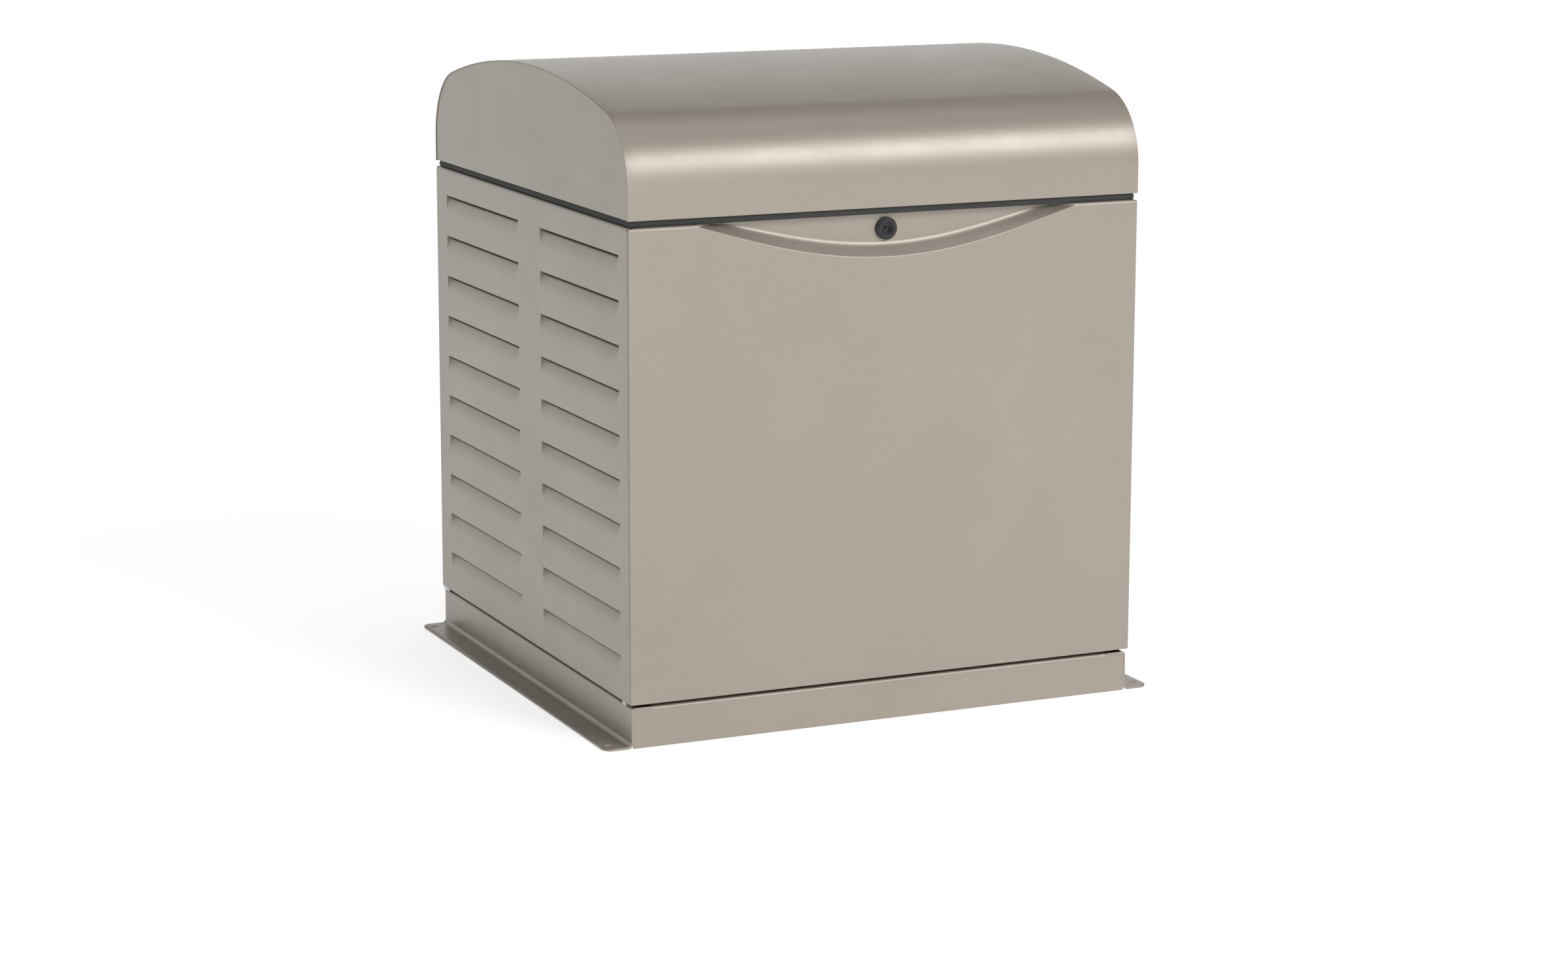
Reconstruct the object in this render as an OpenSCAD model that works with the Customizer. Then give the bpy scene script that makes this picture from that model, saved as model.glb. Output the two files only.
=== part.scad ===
// Home standby generator: an air-cooled V-twin gas engine and alternator in a folded sheet-steel enclosure.
// +Z is up and the front faces -Y. The origin is the centre of the four anchor holes, on the ground.

/* [Enclosure] */
// Width of the panels, left to right
body_w = 750; // [700:5:900]
// Depth of the panels, front to back
body_d = 750; // [700:5:900]
// Height of the panels' lower edge above the ground
panel_z0 = 59; // [56:1:62]
// Height of the panels' upper edge above the ground
panel_z1 = 691; // [680:1:720]
// Thickness of the enclosure sheet
sheet = 1.5; // [1.2:0.1:2]
// Depth of the folded return along each panel edge
return_d = 18; // [12:1:20]

/* [Roof] */
// Height of the gap between the panels and the roof
roof_gap = 8.5; // [7:0.5:10]
// Straight height of the roof's front and back walls
roof_wall = 38.5; // [30:0.5:45]
// Radius of the bend between the wall and the crown
roof_corner_r = 100; // [90:1:110]
// Height of the crown's top above the ground
roof_apex = 872; // [865:1:900]
// Thickness of the foam lining under the roof
roof_foam_t = 12; // [8:1:15]
// How far the gable plates sit inside the skin's edges
gable_inset = 1; // [0.5:0.5:2]

/* [Base] */
// Height of the folded base
base_h = 55; // [50:1:55]
// Thickness of the base steel
base_sheet = 3; // [2.5:0.5:4]
// How far the base walls sit inside the panels' faces
base_inset = 3; // [2:0.5:5]
// Width of each foot flange
flange_w = 38; // [34:1:44]
// Radius of the foot flanges' corners
flange_corner_r = 14; // [8:1:18]
// Radius of the anchor holes
anchor_r = 5; // [4.5:0.5:6]
// Distance from the anchor holes to the flange's outer edge
anchor_edge = 13; // [12:1:15]
// Distance from the anchor holes to the flange's ends
anchor_end = 21; // [18:1:40]

/* [Louvres] */
// Rows of louvres in each column
louvre_rows = 10; // [6:1:10]
// Distance between rows
louvre_pitch = 59.2; // [55:0.2:62]
// Height of the lowest row's slit
louvre_z0 = 120; // [110:1:130]
// Height of one pressed louvre
louvre_h = 27; // [20:1:32]
// How far a louvre is pressed inwards
louvre_depth = 9; // [6:0.5:12]

/* [Front panel] */
// Depth of the crescent recess
recess_depth = 16; // [12:1:17]
// Lowest point of the recess's outer edge
recess_z = 634; // [625:1:645]
// Height of the latch's centre
lock_z = 670; // [668:1:672]
// Radius of the latch's head
lock_head_r = 15; // [13:0.5:16]

/* [Engine and alternator] */
// Height of the crankshaft above the ground
crank_z = 235; // [235:1:245]
// Distance of the crankshaft behind the enclosure's middle
crank_y = 20; // [15:1:25]
// Radius of the crankshaft's main journals
crank_r = 17.5; // [15:0.5:18]
// Running clearance around turning shafts
running = 0.05; // [0.02:0.01:0.1]

/* [Hidden] */
$fn = 64;
e = 0.01;

hw = body_w / 2;
hd = body_d / 2;
in_w = hw - sheet;
in_d = hd - sheet;
roof_z0 = panel_z1 + roof_gap;
arc_z = roof_z0 + roof_wall;
deck = base_h;

// Colours
paint = [0.66, 0.63, 0.56];
black = [0.1, 0.1, 0.1];
cast = [0.62, 0.63, 0.64];
steel = [0.55, 0.56, 0.58];
foam = [0.22, 0.22, 0.23];

// ---------- shared shapes ----------

// A box from its lowest corner to its highest
module block(a, b) { translate(a) cube(b - a); }

// A round bar from a point, r and length, along an axis named x, y or z
module bar(p, r, l, axis = "z", fn = 64) {
  turn = axis == "x" ? [0, 90, 0] : axis == "y" ? [-90, 0, 0] : [0, 0, 0];
  translate(p) rotate(turn) cylinder(r = r, h = l, $fn = fn);
}

// A tube, made as a bar with a bore right through it
module pipe(p, r_out, r_in, l, axis = "z") {
  difference() {
    bar(p, r_out, l, axis);
    back = axis == "x" ? [-1, 0, 0] : axis == "y" ? [0, -1, 0] : [0, 0, -1];
    bar(p + back, r_in, l + 2, axis);
  }
}

// A flat slab with rounded corners, centred in X and Y
module slab(w, d, h, r) {
  linear_extrude(h) offset(r = r, $fn = 32) square([w - 2 * r, d - 2 * r], center = true);
}

function unit(v) = v / norm(v);

// A smooth curve through a list of points: steps points between each pair
function spline(p, steps = 5) = [
  for (i = [0 : len(p) - 2], s = [0 : steps - 1])
    let (
      a = p[max(i - 1, 0)], b = p[i], c = p[i + 1], d = p[min(i + 2, len(p) - 1)], t = s / steps
    ) 0.5 * (2 * b + (c - a) * t + (2 * a - 5 * b + 4 * c - d) * t * t + (3 * b - a - 3 * c + d) * t * t * t),
  p[len(p) - 1]
];

function headings(p) = [
  for (i = [0 : len(p) - 1]) unit(p[min(i + 1, len(p) - 1)] - p[max(i - 1, 0)])
];

// Carries one side direction along the curve without twisting it
function carried(t, side, i = 1) = i == len(t) ? side :
  let (u = side[i - 1] - (side[i - 1] * t[i]) * t[i]) carried(t, concat(side, [unit(u)]), i + 1);

// Each run stops this far short of the fitting that it serves
stand_off = 0.8;

// A round hose or cable along a smooth curve through the points
module hose(points, r, steps = 5, sides = 10) {
  p = spline(points, steps);
  t = headings(p);
  first = abs(t[0][2]) < 0.8 ? [0, 0, 1] : [1, 0, 0];
  u = carried(t, [unit(cross(t[0], first))]);
  n = len(p);
  rings = [
    for (i = [0 : n - 1], k = [0 : sides - 1])
      p[i] + r * (cos(360 * k / sides) * u[i] + sin(360 * k / sides) * cross(t[i], u[i]))
  ];
  sides_of = [
    for (i = [0 : n - 2], k = [0 : sides - 1])
      let (m = (k + 1) % sides) [i * sides + k, (i + 1) * sides + k, (i + 1) * sides + m, i * sides + m]
  ];
  start = [for (k = [0 : sides - 1]) k];
  end = [for (k = [sides - 1 : -1 : 0]) (n - 1) * sides + k];
  polyhedron(rings, concat(sides_of, [start], [end]), convexity = 6);
}

// ---------- base ----------

// One side rail on the right: foot flange, web and top flange
module side_rail() {
  web = hw - base_inset;
  length = body_d - 2 * base_inset;
  anchor_x = web + flange_w - anchor_edge;
  difference() {
    union() {
      linear_extrude(base_sheet) union() {
        translate([web - base_sheet, -length / 2])
          square([base_sheet + flange_w - flange_corner_r, length]);
        translate([web + flange_w / 2, -length / 2 + flange_corner_r])
          square([flange_w / 2, length - 2 * flange_corner_r]);
        for (s = [-1, 1]) translate([web + flange_w - flange_corner_r, s * (length / 2 - flange_corner_r)])
          circle(r = flange_corner_r);
      }
      block([web - base_sheet, -length / 2, 0], [web, length / 2, base_h]);
      block([web - 30, -length / 2, base_h - base_sheet], [web, length / 2, base_h]);
    }
    for (s = [-1, 1]) bar([anchor_x, s * (length / 2 - anchor_end), -1], anchor_r, base_sheet + 2);
  }
}

module base_rail_right() { color(paint) side_rail(); }
module base_rail_left() { color(paint) mirror([1, 0, 0]) side_rail(); }

module base_cross_rails() {
  y = hd - base_inset;
  x = hw - base_inset - base_sheet;
  top = base_h - base_sheet;
  color(paint) for (s = [0, 1]) mirror([0, s, 0]) {
    block([-x, -y, 0], [x, -y + base_sheet, top]);
    block([-x + 27, -y, top], [x - 27, -y + 30, base_h]);
  }
}

module base_deck() {
  w = hw - base_inset - 30;
  color(paint) block([-w, -w, base_h - base_sheet], [w, w, base_h]);
}

// ---------- frame ----------

post_leg = 25;
front_leg = 23;
front_return = 11;
post_front_y = -in_d + 19.5;
pin_x = hw - 17;
pin_z = [95, 640];

module corner_post_front() {
  difference() {
    union() {
      block([in_w - front_leg, post_front_y, deck], [in_w, post_front_y + 2, panel_z1 - sheet]);
      block([in_w - 2, post_front_y, deck], [in_w, post_front_y + front_return, panel_z1 - sheet]);
    }
    for (z = pin_z) bar([pin_x, post_front_y - 1, z], 5, 4, "y");
  }
}

module corner_post_rear() {
  block([in_w - post_leg, in_d - 2, deck], [in_w, in_d, panel_z1 - sheet]);
  block([in_w - 2, in_d - post_leg, deck], [in_w, in_d, panel_z1 - sheet]);
}

module corner_posts() {
  color(steel) for (m = [0, 1]) mirror([m, 0, 0]) {
    corner_post_front();
    corner_post_rear();
  }
}

rail_z = [455, 480];

// A cross rail between the front posts, which carries the controller and the breaker
module front_cross_rail() {
  x = in_w - front_leg;
  y = post_front_y;
  color(steel) {
    block([-x, y, rail_z[0]], [x, y + 2, rail_z[1]]);
    block([-x, y, rail_z[1] - 2], [x, y + 24, rail_z[1]]);
  }
}

// ---------- panels ----------

louvre_columns = [[-342, -54], [31, 330]];

// One louvre as the sheet pressed inwards, drawn for the left panel
module louvre(y, z) {
  x = -hw;
  length = y[1] - y[0];
  low = z - louvre_h;
  translate([0, y[1], 0]) rotate([90, 0, 0]) linear_extrude(length)
    polygon([
      [x, low], [x + louvre_depth, z], [x + louvre_depth + sheet, z],
      [x + sheet, low - e], [x, low - e]
    ]);
  for (end = [y[0], y[1] - sheet])
    translate([0, end + sheet, 0]) rotate([90, 0, 0]) linear_extrude(sheet)
      polygon([[x, low], [x, z + e], [x + louvre_depth + sheet, z + e], [x + louvre_depth + sheet, z],
        [x + sheet, low]]);
}

// A side panel, drawn as the left one
module side_panel() {
  rows = [for (i = [0 : louvre_rows - 1]) louvre_z0 + i * louvre_pitch];
  difference() {
    union() {
      block([-hw, -in_d + 0.3, panel_z0], [-in_w, hd, panel_z1]);
      block([-in_w - e, post_front_y + front_return + 1, panel_z0],
        [-in_w + return_d, in_d - post_leg - 1, panel_z0 + sheet]);
      block([-in_w - e, post_front_y + 1, panel_z1 - sheet], [-in_w + return_d, in_d, panel_z1]);
    }
    for (y = louvre_columns, z = rows) block([-hw - 1, y[0], z - louvre_h], [-in_w + 1, y[1], z]);
  }
  for (y = louvre_columns, z = rows) louvre(y, z);
}

prop_x = -345;
catch_y = 110;

module panel_left() {
  color(paint) union() {
    side_panel();
    difference() {
      block([-in_w, catch_y - 12, panel_z1 - sheet - 3], [prop_x + 8, catch_y + 12, panel_z1 - sheet]);
      bar([prop_x, catch_y, panel_z1 - 6], 5, 8);
    }
  }
}

outlet_y = -11.5;
outlet_z = 400;

module panel_right() {
  color(paint) difference() {
    union() {
      mirror([1, 0, 0]) side_panel();
      pipe([hw, outlet_y, outlet_z], 36, 24, 2, "x");
    }
    bar([hw - 5, outlet_y, outlet_z], 24, 8, "x");
  }
}

fuel_x = -250;
conduit_x = 250;
service_z = 110;
screw_z = [80, 240, 400, 560];
screw_x = in_w - 12;

module panel_rear() {
  x = in_w - 0.1;
  color(paint) difference() {
    union() {
      block([-x, in_d, panel_z0], [x, hd, panel_z1]);
      for (z = [panel_z0, panel_z1 - sheet])
        block([-in_w + post_leg + 1, in_d - return_d, z], [in_w - post_leg - 1, in_d + e, z + sheet]);
    }
    bar([fuel_x, in_d - 1, service_z], 16, 4, "y");
    bar([conduit_x, in_d - 1, service_z], 20, 4, "y");
    for (s = [-1, 1], z = screw_z) bar([s * screw_x, in_d - 1, z], 2.5, 4, "y");
    for (i = [0 : 4]) block([-120, in_d - 1, 90 + 18 * i], [120, hd + 1, 96 + 18 * i]);
  }
}

module panel_screws() {
  color(steel) for (s = [-1, 1], z = screw_z) {
    bar([s * screw_x, in_d, z], 2.5, sheet + 1, "y");
    bar([s * screw_x, hd, z], 7, 1.2, "y");
    bar([s * screw_x, hd + 1.2, z], 5, 3.6, "y", 6);
  }
}

module rear_foam() {
  color(foam) difference() {
    block([-in_w + post_leg + 2, in_d - 20, 200], [in_w - post_leg - 2, in_d, panel_z1 - 12]);
    block([-60, in_d - 21, 190], [60, in_d + 1, 240]);
  }
}

// ---------- roof hinge ----------

hinge_y = hd + 6;
hinge_z = panel_z1 + roof_gap / 2;
knuckle_r = 5.5;
hinge_pin_r = 3;
hinge_w = 90;
knuckle_w = 18;
hinge_x = [-250, 250];

// The knuckles of one leaf: which = 0 for the frame's three, 1 for the roof's two
module knuckles(which, bore) {
  side = which == 0 ? -1 : 1;
  for (i = [which : 2 : 4]) {
    x = -hinge_w / 2 + i * knuckle_w;
    gap = 0.2;
    difference() {
      union() {
        bar([x + gap, hinge_y, hinge_z], knuckle_r, knuckle_w - 2 * gap, "x");
        block([x + gap, hd, min(hinge_z, hinge_z + side * 7)],
              [x + knuckle_w - gap, hd + 2, max(hinge_z, hinge_z + side * 7)]);
      }
      bar([x - 1, hinge_y, hinge_z], bore, knuckle_w + 2, "x");
    }
  }
}

module hinge_leaves_lower() {
  color(steel) for (x = hinge_x) translate([x, 0, 0]) {
    knuckles(0, hinge_pin_r);
    block([-hinge_w / 2, hd, hinge_z - 38], [hinge_w / 2, hd + 2, hinge_z - 6.5]);
  }
}

module hinge_pins() {
  color(steel) for (x = hinge_x) {
    bar([x - hinge_w / 2, hinge_y, hinge_z], hinge_pin_r, hinge_w, "x");
    for (s = [-hinge_w / 2 - 2, hinge_w / 2]) bar([x + s, hinge_y, hinge_z], 4.5, 2, "x");
  }
}

// ---------- engine ----------

skid_y = [crank_y - 60, crank_y + 60];
isolator_x = [-180, 150];
isolator_h = 40;
skid_z = deck + isolator_h;
skid_h = crank_z - 110 - skid_z;

module engine_skid() {
  color(black) for (y = skid_y) difference() {
    block([-208, y - 20, skid_z], [225, y + 20, skid_z + skid_h]);
    block([-209, y - 17, skid_z - 1], [226, y + 17, skid_z + skid_h - 3]);
    for (x = isolator_x) bar([x, y, skid_z + skid_h - 5], 6, 8);
  }
}

module isolators() {
  color(black) for (x = isolator_x, y = skid_y) translate([x, y, deck]) rotate_extrude()
    polygon([[0, 0], [16, 0], [16, 4], [12, 14], [12, 24], [16, 36], [16, isolator_h + skid_h - 3],
      [0, isolator_h + skid_h - 3]]);
}

case_x = [-205, -35];
case_r = 95;
bank_x = [-145, -95];
fin_w = 112;
barrel = [92, 190];
head_h = 55;
cover_h = 34;
port_up = 16;

cleaner = [-120, crank_y];
cleaner_z = 490;

// Puts a child that stands along +Z on the front bank (0) or the rear bank (1)
module on_bank(i) {
  translate([bank_x[i], crank_y, crank_z]) rotate([i == 0 ? 45 : -45, 0, 0]) children();
}

dip_tube = 52;
dip_lean = 50;

// Puts a child that stands along +Z on the slanted dipstick tube
module on_dipstick() { translate([-50, crank_y - 82, crank_z + 27]) rotate([dip_lean, 0, 0]) children(); }

module crankcase() {
  color(cast) difference() {
    union() {
      bar([case_x[0], crank_y, crank_z], case_r, case_x[1] - case_x[0], "x");
      block([case_x[0] + 5, crank_y - 72, skid_z + skid_h],
        [case_x[1] - 5, crank_y + 72, skid_z + skid_h + 45]);
      for (i = [0, 1]) on_bank(i) {
        translate([0, 0, 70]) cylinder(r = 46, h = barrel[1] - 70);
        for (k = [0 : 6]) translate([-fin_w / 2, -fin_w / 2, barrel[0] + 12 + 12 * k])
          cube([fin_w, fin_w, 3.5]);
      }
      bar([-72, crank_y - 100, 195], 30, 40, "y");
      on_dipstick() cylinder(r = 9, h = dip_tube);
    }
    bar([case_x[0] + 8, crank_y, crank_z], 78, case_x[1] - case_x[0] - 16, "x");
    bar([case_x[0] - 1, crank_y, crank_z], crank_r + running, case_x[1] - case_x[0] + 2, "x");
    on_dipstick() translate([0, 0, -24]) cylinder(r = 5, h = dip_tube + 30);
  }
}

module cylinder_heads() {
  color(cast) for (i = [0, 1]) on_bank(i) translate([0, 0, barrel[1]]) {
    translate([-46, -42, 0]) cube([92, 84, head_h]);
    for (k = [0 : 3]) translate([-fin_w / 2, -fin_w / 2, 6 + 12 * k]) cube([fin_w, fin_w, 3.5]);
    for (s = [-1, 1]) {
      valley = i == 0 ? 1 : -1;
      x = s == valley ? cleaner[0] - bank_x[i] : 0;
      translate([x, s * 30, port_up]) rotate([s * -90, 0, 0]) cylinder(r = 15.6, h = fin_w / 2 - 30);
    }
    translate([30, 0, 24]) rotate([0, 90, 0]) cylinder(r = 11, h = fin_w / 2 - 30);
  }
}

module valve_covers() {
  color(black) for (i = [0, 1]) on_bank(i) translate([0, 0, barrel[1] + head_h]) {
    slab(104, 84, 6, 12);
    slab(94, 74, cover_h, 14);
    for (x = [-36, 36]) translate([x, 0, cover_h]) cylinder(r = 6, h = 5, $fn = 6);
  }
}

coil = [[-84, 0, 331], [-36, 40, 368]];

// The ignition coil on the crankcase, and a lead and a boot for each plug
module ignition_leads() {
  z = crank_z + (barrel[1] + 24) / sqrt(2);
  out = (barrel[1] + 24) / sqrt(2);
  boot = 44;
  color(black) {
    block(coil[0], coil[1]);
    for (i = [0, 1]) {
      x = bank_x[i] + fin_w / 2;
      s = i == 0 ? -1 : 1;
      y = crank_y + s * out;
      bar([x, y, z], 9, boot, "x");
      hose([
        [x + boot, y, z], [x + boot + 22, y, z], [x + boot + 30, y - s * 30, z + 26],
        [-5, crank_y + s * 60, z + 24], [-50, crank_y + s * 16, z + 10], [-60, crank_y + s * 10, coil[1][2]]
      ], 3.5, 5, 8);
    }
  }
}

blower_x = [-290, -212];

module blower_outline(r, w, reach) {
  cylinder(r = r, h = 200);
  for (a = [-45, 45]) rotate([0, 0, a]) translate([-reach, -w / 2, 0]) cube([reach, w, 200]);
}

// The blower housing: a drum round the fan with a duct up to each bank
module blower_housing() {
  depth = blower_x[1] - blower_x[0];
  color(black) translate([blower_x[0], crank_y, crank_z]) rotate([0, 90, 0]) difference() {
    intersection() {
      blower_outline(146, 124, 232);
      cylinder(r = 400, h = depth);
    }
    translate([0, 0, 3]) blower_outline(143, 118, 229);
    translate([0, 0, -1]) cylinder(r = 98, h = 8);
  }
}

module intake_screen() {
  color(steel) {
    for (r = [20, 40, 60, 80]) pipe([blower_x[0] - 3, crank_y, crank_z], r + 2, r - 2, 3, "x");
    pipe([blower_x[0] - 3, crank_y, crank_z], 106, 96, 3, "x");
    for (a = [0 : 60 : 300]) translate([blower_x[0] - 3, crank_y, crank_z]) rotate([a, 0, 0])
      block([0.5, 19, -2], [2.5, 101, 2]);
  }
}

module flywheel_fan() {
  blades = 16;
  color(cast) difference() {
    union() {
      bar([-238, crank_y, crank_z], 118, 10, "x");
      bar([-276, crank_y, crank_z], 32, 48, "x");
      for (k = [0 : blades - 1]) translate([-276, crank_y, crank_z]) rotate([360 * k / blades, 0, 0])
        rotate([0, 8, 0]) block([2, 62, -2.5], [42, 112, 2.5]);
    }
    bar([-280, crank_y, crank_z], crank_r, 60, "x");
  }
}

module crankshaft() {
  webs = [-184, -128, -72];
  color(steel) {
    bar([-281, crank_y, crank_z], crank_r, 429, "x");
    bar([147, crank_y, crank_z], 12.5, 52, "x");
    bar([-287, crank_y, crank_z], 14, 6, "x", 6);
    for (x = webs) bar([x, crank_y, crank_z], 60, 14, "x");
    for (x = webs) if (x < webs[2]) bar([x, crank_y, crank_z + 32], 18, webs[1] - webs[0], "x");
  }
}

alt_x = [-25, 175];
alt_r = 112;

module alternator_housing() {
  color(cast) difference() {
    union() {
      bar([case_x[1], crank_y, crank_z], alt_r, alt_x[1] - case_x[1], "x");
      for (y = skid_y) block([70, y - 16, skid_z + skid_h], [130, y + 16, skid_z + skid_h + 30]);
      block([30, crank_y - 60, crank_z + 90], [130, crank_y + 60, crank_z + 128]);
    }
    bar([case_x[1] + 8, crank_y, crank_z], alt_r - 6, alt_x[1] - case_x[1], "x");
    bar([case_x[1] - 1, crank_y, crank_z], 34, 20, "x");
    for (a = [0 : 30 : 150]) translate([-18, crank_y, crank_z]) rotate([a + 15, 0, 0])
      block([0, -alt_r - 5, -9], [30, alt_r + 5, 9]);
  }
}

module alternator_stator() {
  color(steel) pipe([22, crank_y, crank_z], alt_r - 6, 78, 104, "x");
  color("peru") for (x = [4, 126]) pipe([x, crank_y, crank_z], 100, 82, 18, "x");
}

module alternator_end_bell() {
  color(cast) difference() {
    union() {
      bar([alt_x[1], crank_y, crank_z], alt_r, 10, "x");
      bar([alt_x[1], crank_y, crank_z], 34, 30, "x");
    }
    bar([alt_x[1] - 1, crank_y, crank_z], 12.5 + running, 40, "x");
    for (a = [0 : 45 : 315]) translate([alt_x[1] - 1, crank_y, crank_z]) rotate([a, 0, 0])
      block([0, 48, -10], [12, 98, 10]);
  }
}

module alternator_rotor() {
  color("peru") difference() {
    bar([26, crank_y, crank_z], 76, 96, "x");
    bar([25, crank_y, crank_z], crank_r, 98, "x");
    for (a = [45 : 90 : 315]) translate([25, crank_y, crank_z]) rotate([a, 0, 0])
      block([0, 44, -12], [98, 80, 12]);
  }
}

// ---------- air, fuel and oil ----------

module air_cleaner_base() {
  color(black) translate([cleaner[0], cleaner[1], cleaner_z]) difference() {
    union() {
      cylinder(r = 104, h = 6);
      cylinder(r = 98, h = 16);
    }
    translate([0, 0, 6]) cylinder(r = 95, h = 20);
    translate([0, 0, -1]) cylinder(r = 20, h = 10);
  }
}

module air_filter() {
  color("linen") translate([cleaner[0], cleaner[1], cleaner_z + 6]) difference() {
    cylinder(r = 88, h = 58);
    translate([0, 0, -1]) cylinder(r = 60, h = 60);
  }
}

module air_cleaner_cover() {
  color(black) translate([cleaner[0], cleaner[1], cleaner_z]) {
    difference() {
      union() {
        translate([0, 0, 6.5]) cylinder(r = 104, h = 72);
        translate([0, 0, 78.5]) cylinder(r1 = 104, r2 = 92, h = 8);
      }
      translate([0, 0, 5]) cylinder(r = 100.5, h = 70);
    }
    translate([-34, -9, 86]) cube([68, 18, 16]);
  }
}

module intake_mixer() {
  arm = (barrel[1] + port_up) / sqrt(2);
  side = fin_w / 2 / sqrt(2);
  x = cleaner[0];
  z = crank_z + arm + side;
  tube = 15;
  color(cast) {
    for (s = [-1, 1]) {
      translate([x, crank_y + s * (arm - side), z]) rotate([s * 45, 0, 0]) cylinder(r = tube, h = 44);
      translate([x, crank_y + s * (arm - side), z]) rotate([s * 45, 0, 0]) cylinder(r = 22, h = 5);
      translate([x, crank_y + s * (arm - side - 31), z + 31]) sphere(r = tube + 2);
    }
    bar([x, crank_y - arm + side + 31, z + 31], tube - 1, 2 * (arm - side - 31), "y");
    bar([x, crank_y, z - 4], 27, cleaner_z - z + 4, "z");
    bar([x - 40, crank_y, z + 24], 10, 20, "x");
    bar([x + 20, crank_y, z + 30], 5, 26, "x");
  }
}

regulator = [-262, 285, 262];

module fuel_regulator() {
  color(cast) {
    bar([regulator[0], regulator[1] - 26, regulator[2]], 56, 8, "y");
    bar([regulator[0], regulator[1] - 18, regulator[2]], 50, 44, "y");
    bar([regulator[0], regulator[1] + 26, regulator[2]], 24, 12, "y");
    bar([regulator[0], regulator[1], regulator[2] + 40], 10, 26);
    bar([regulator[0], regulator[1], regulator[2] - 66], 10, 26);
    for (a = [0 : 60 : 300]) translate(regulator - [0, 26, 0]) rotate([90, a, 0])
      translate([44, 0, 0]) cylinder(r = 5, h = 3, $fn = 6);
    block([regulator[0] - 12, regulator[1] + 30, regulator[2] - 12],
      [regulator[0] + 12, in_d - 20, regulator[2] + 12]);
  }
}

valve_y = 300;
stem_r = 5;
inlet_r = 10;
inlet_l = 20;

module fuel_valve() {
  color("goldenrod") difference() {
    union() {
      bar([fuel_x, valve_y - 30, service_z], 15, 114, "y");
      bar([fuel_x, valve_y - 20, service_z], 22, 40, "y", 6);
      bar([fuel_x, valve_y, service_z], 11, 38);
      bar([fuel_x, hd + 0.5, service_z], 22, 9, "y", 6);
      block([fuel_x - 12, valve_y - 12, deck], [fuel_x + 12, valve_y + 12, service_z]);
    }
    bar([fuel_x, valve_y - 31, service_z], 7, 120, "y");
    bar([fuel_x, hd + 9.5 - inlet_l, service_z], inlet_r, inlet_l + 1, "y");
    bar([fuel_x, valve_y, service_z + 18], stem_r + running, 30);
  }
}

module fuel_lever() {
  color("firebrick") {
    bar([fuel_x, valve_y, service_z + 20], stem_r, 30);
    bar([fuel_x, valve_y, service_z + 39], 13, 6);
    block([fuel_x, valve_y - 8, service_z + 40], [fuel_x + 66, valve_y + 8, service_z + 44]);
    bar([fuel_x, valve_y, service_z + 44], 6, 5, "z", 6);
  }
}

module fuel_hoses() {
  r = 9;
  v = regulator;
  inlet_z = crank_z + (barrel[1] + port_up + fin_w / 2) / sqrt(2) + 24;
  color(black) {
    hose([
      [fuel_x, valve_y - 30 - stand_off, service_z], [fuel_x, valve_y - 40, service_z],
      [fuel_x, valve_y - 50, service_z], [fuel_x - 16, valve_y - 74, service_z + 6],
      [v[0] - 44, v[1] - 60, v[2] - 128], [v[0] - 58, v[1] - 28, v[2] - 112],
      [v[0] - 36, v[1] - 6, v[2] - 96],
      [v[0] - 5, v[1], v[2] - 86], [v[0], v[1], v[2] - 76], [v[0], v[1], v[2] - 66 - stand_off]
    ], r);
    hose([
      [v[0], v[1], v[2] + 66 + stand_off], [v[0], v[1], v[2] + 76], [v[0], v[1], v[2] + 90],
      [v[0] + 4, v[1] - 8, 420], [v[0] + 14, v[1] - 40, 474],
      [-222, 150, 480], [-205, 70, 470], [-192, 24, 452], [-180, crank_y, inlet_z],
      [-170, crank_y, inlet_z], [cleaner[0] - 40 - stand_off, crank_y, inlet_z]
    ], r);
  }
}

module oil_filter() {
  y = crank_y - 100;
  color("dimgray") {
    bar([-72, y - 8, 195], 30, 8, "y");
    bar([-72, y - 78, 195], 37, 70, "y");
    bar([-72, y - 86, 195], 28, 10, "y", 12);
  }
}

// The dipstick slides out along its guide tube
module oil_dipstick() {
  color("gold") on_dipstick() {
    translate([0, 0, -16]) cylinder(r = 2.5, h = dip_tube + 18);
    translate([0, 0, dip_tube + 0.4]) cylinder(r = 11, h = 10);
    translate([-2.5, 0, dip_tube + 18]) rotate([0, 90, 0]) difference() {
      cylinder(r = 14, h = 5);
      translate([0, 0, -1]) cylinder(r = 8, h = 7);
    }
  }
}

module starter_motor() {
  y = -87;
  z = 152;
  color(black) {
    bar([-204, y, z], 31, 78, "x");
    bar([-211, y, z], 24, 7, "x");
    bar([-126, y, z], 27, 5, "x");
    bar([-196, y - 14, z + 34], 13, 56, "x");
    block([-188, y - 20, z + 20], [-146, y - 8, z + 34]);
  }
}

// ---------- exhaust ----------

muffler_at = [290, outlet_z];
muffler_r = 50;
muffler_y = [-140, 180];
exhaust_r = 15;

module exhaust_pipes() {
  arm = (barrel[1] + port_up) / sqrt(2);
  side = fin_w / 2 / sqrt(2);
  color(steel) for (i = [0, 1]) {
    s = i == 0 ? -1 : 1;
    port_y = crank_y + s * (arm + side);
    port_z = crank_z + arm - side;
    x = bank_x[i];
    run_y = port_y + s * 30;
    end_y = muffler_y[i];
    hose([
      [x, port_y + s * 0.6, port_z - 0.6], [x, port_y + s * 8, port_z - 8],
      [x, port_y + s * 15, port_z - 15],
      [x + 16, port_y + s * 27, port_z - 27],
      [x + 50, run_y, port_z - 30], [120, run_y, port_z - 20], [220, run_y, outlet_z - 40],
      [270, (run_y + end_y) / 2 + s * 16, outlet_z - 4], [muffler_at[0], end_y + s * 26, outlet_z],
      [muffler_at[0], end_y + s * 12, outlet_z], [muffler_at[0], end_y + s * stand_off, outlet_z]
    ], exhaust_r, 5, 12);
  }
}

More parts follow.
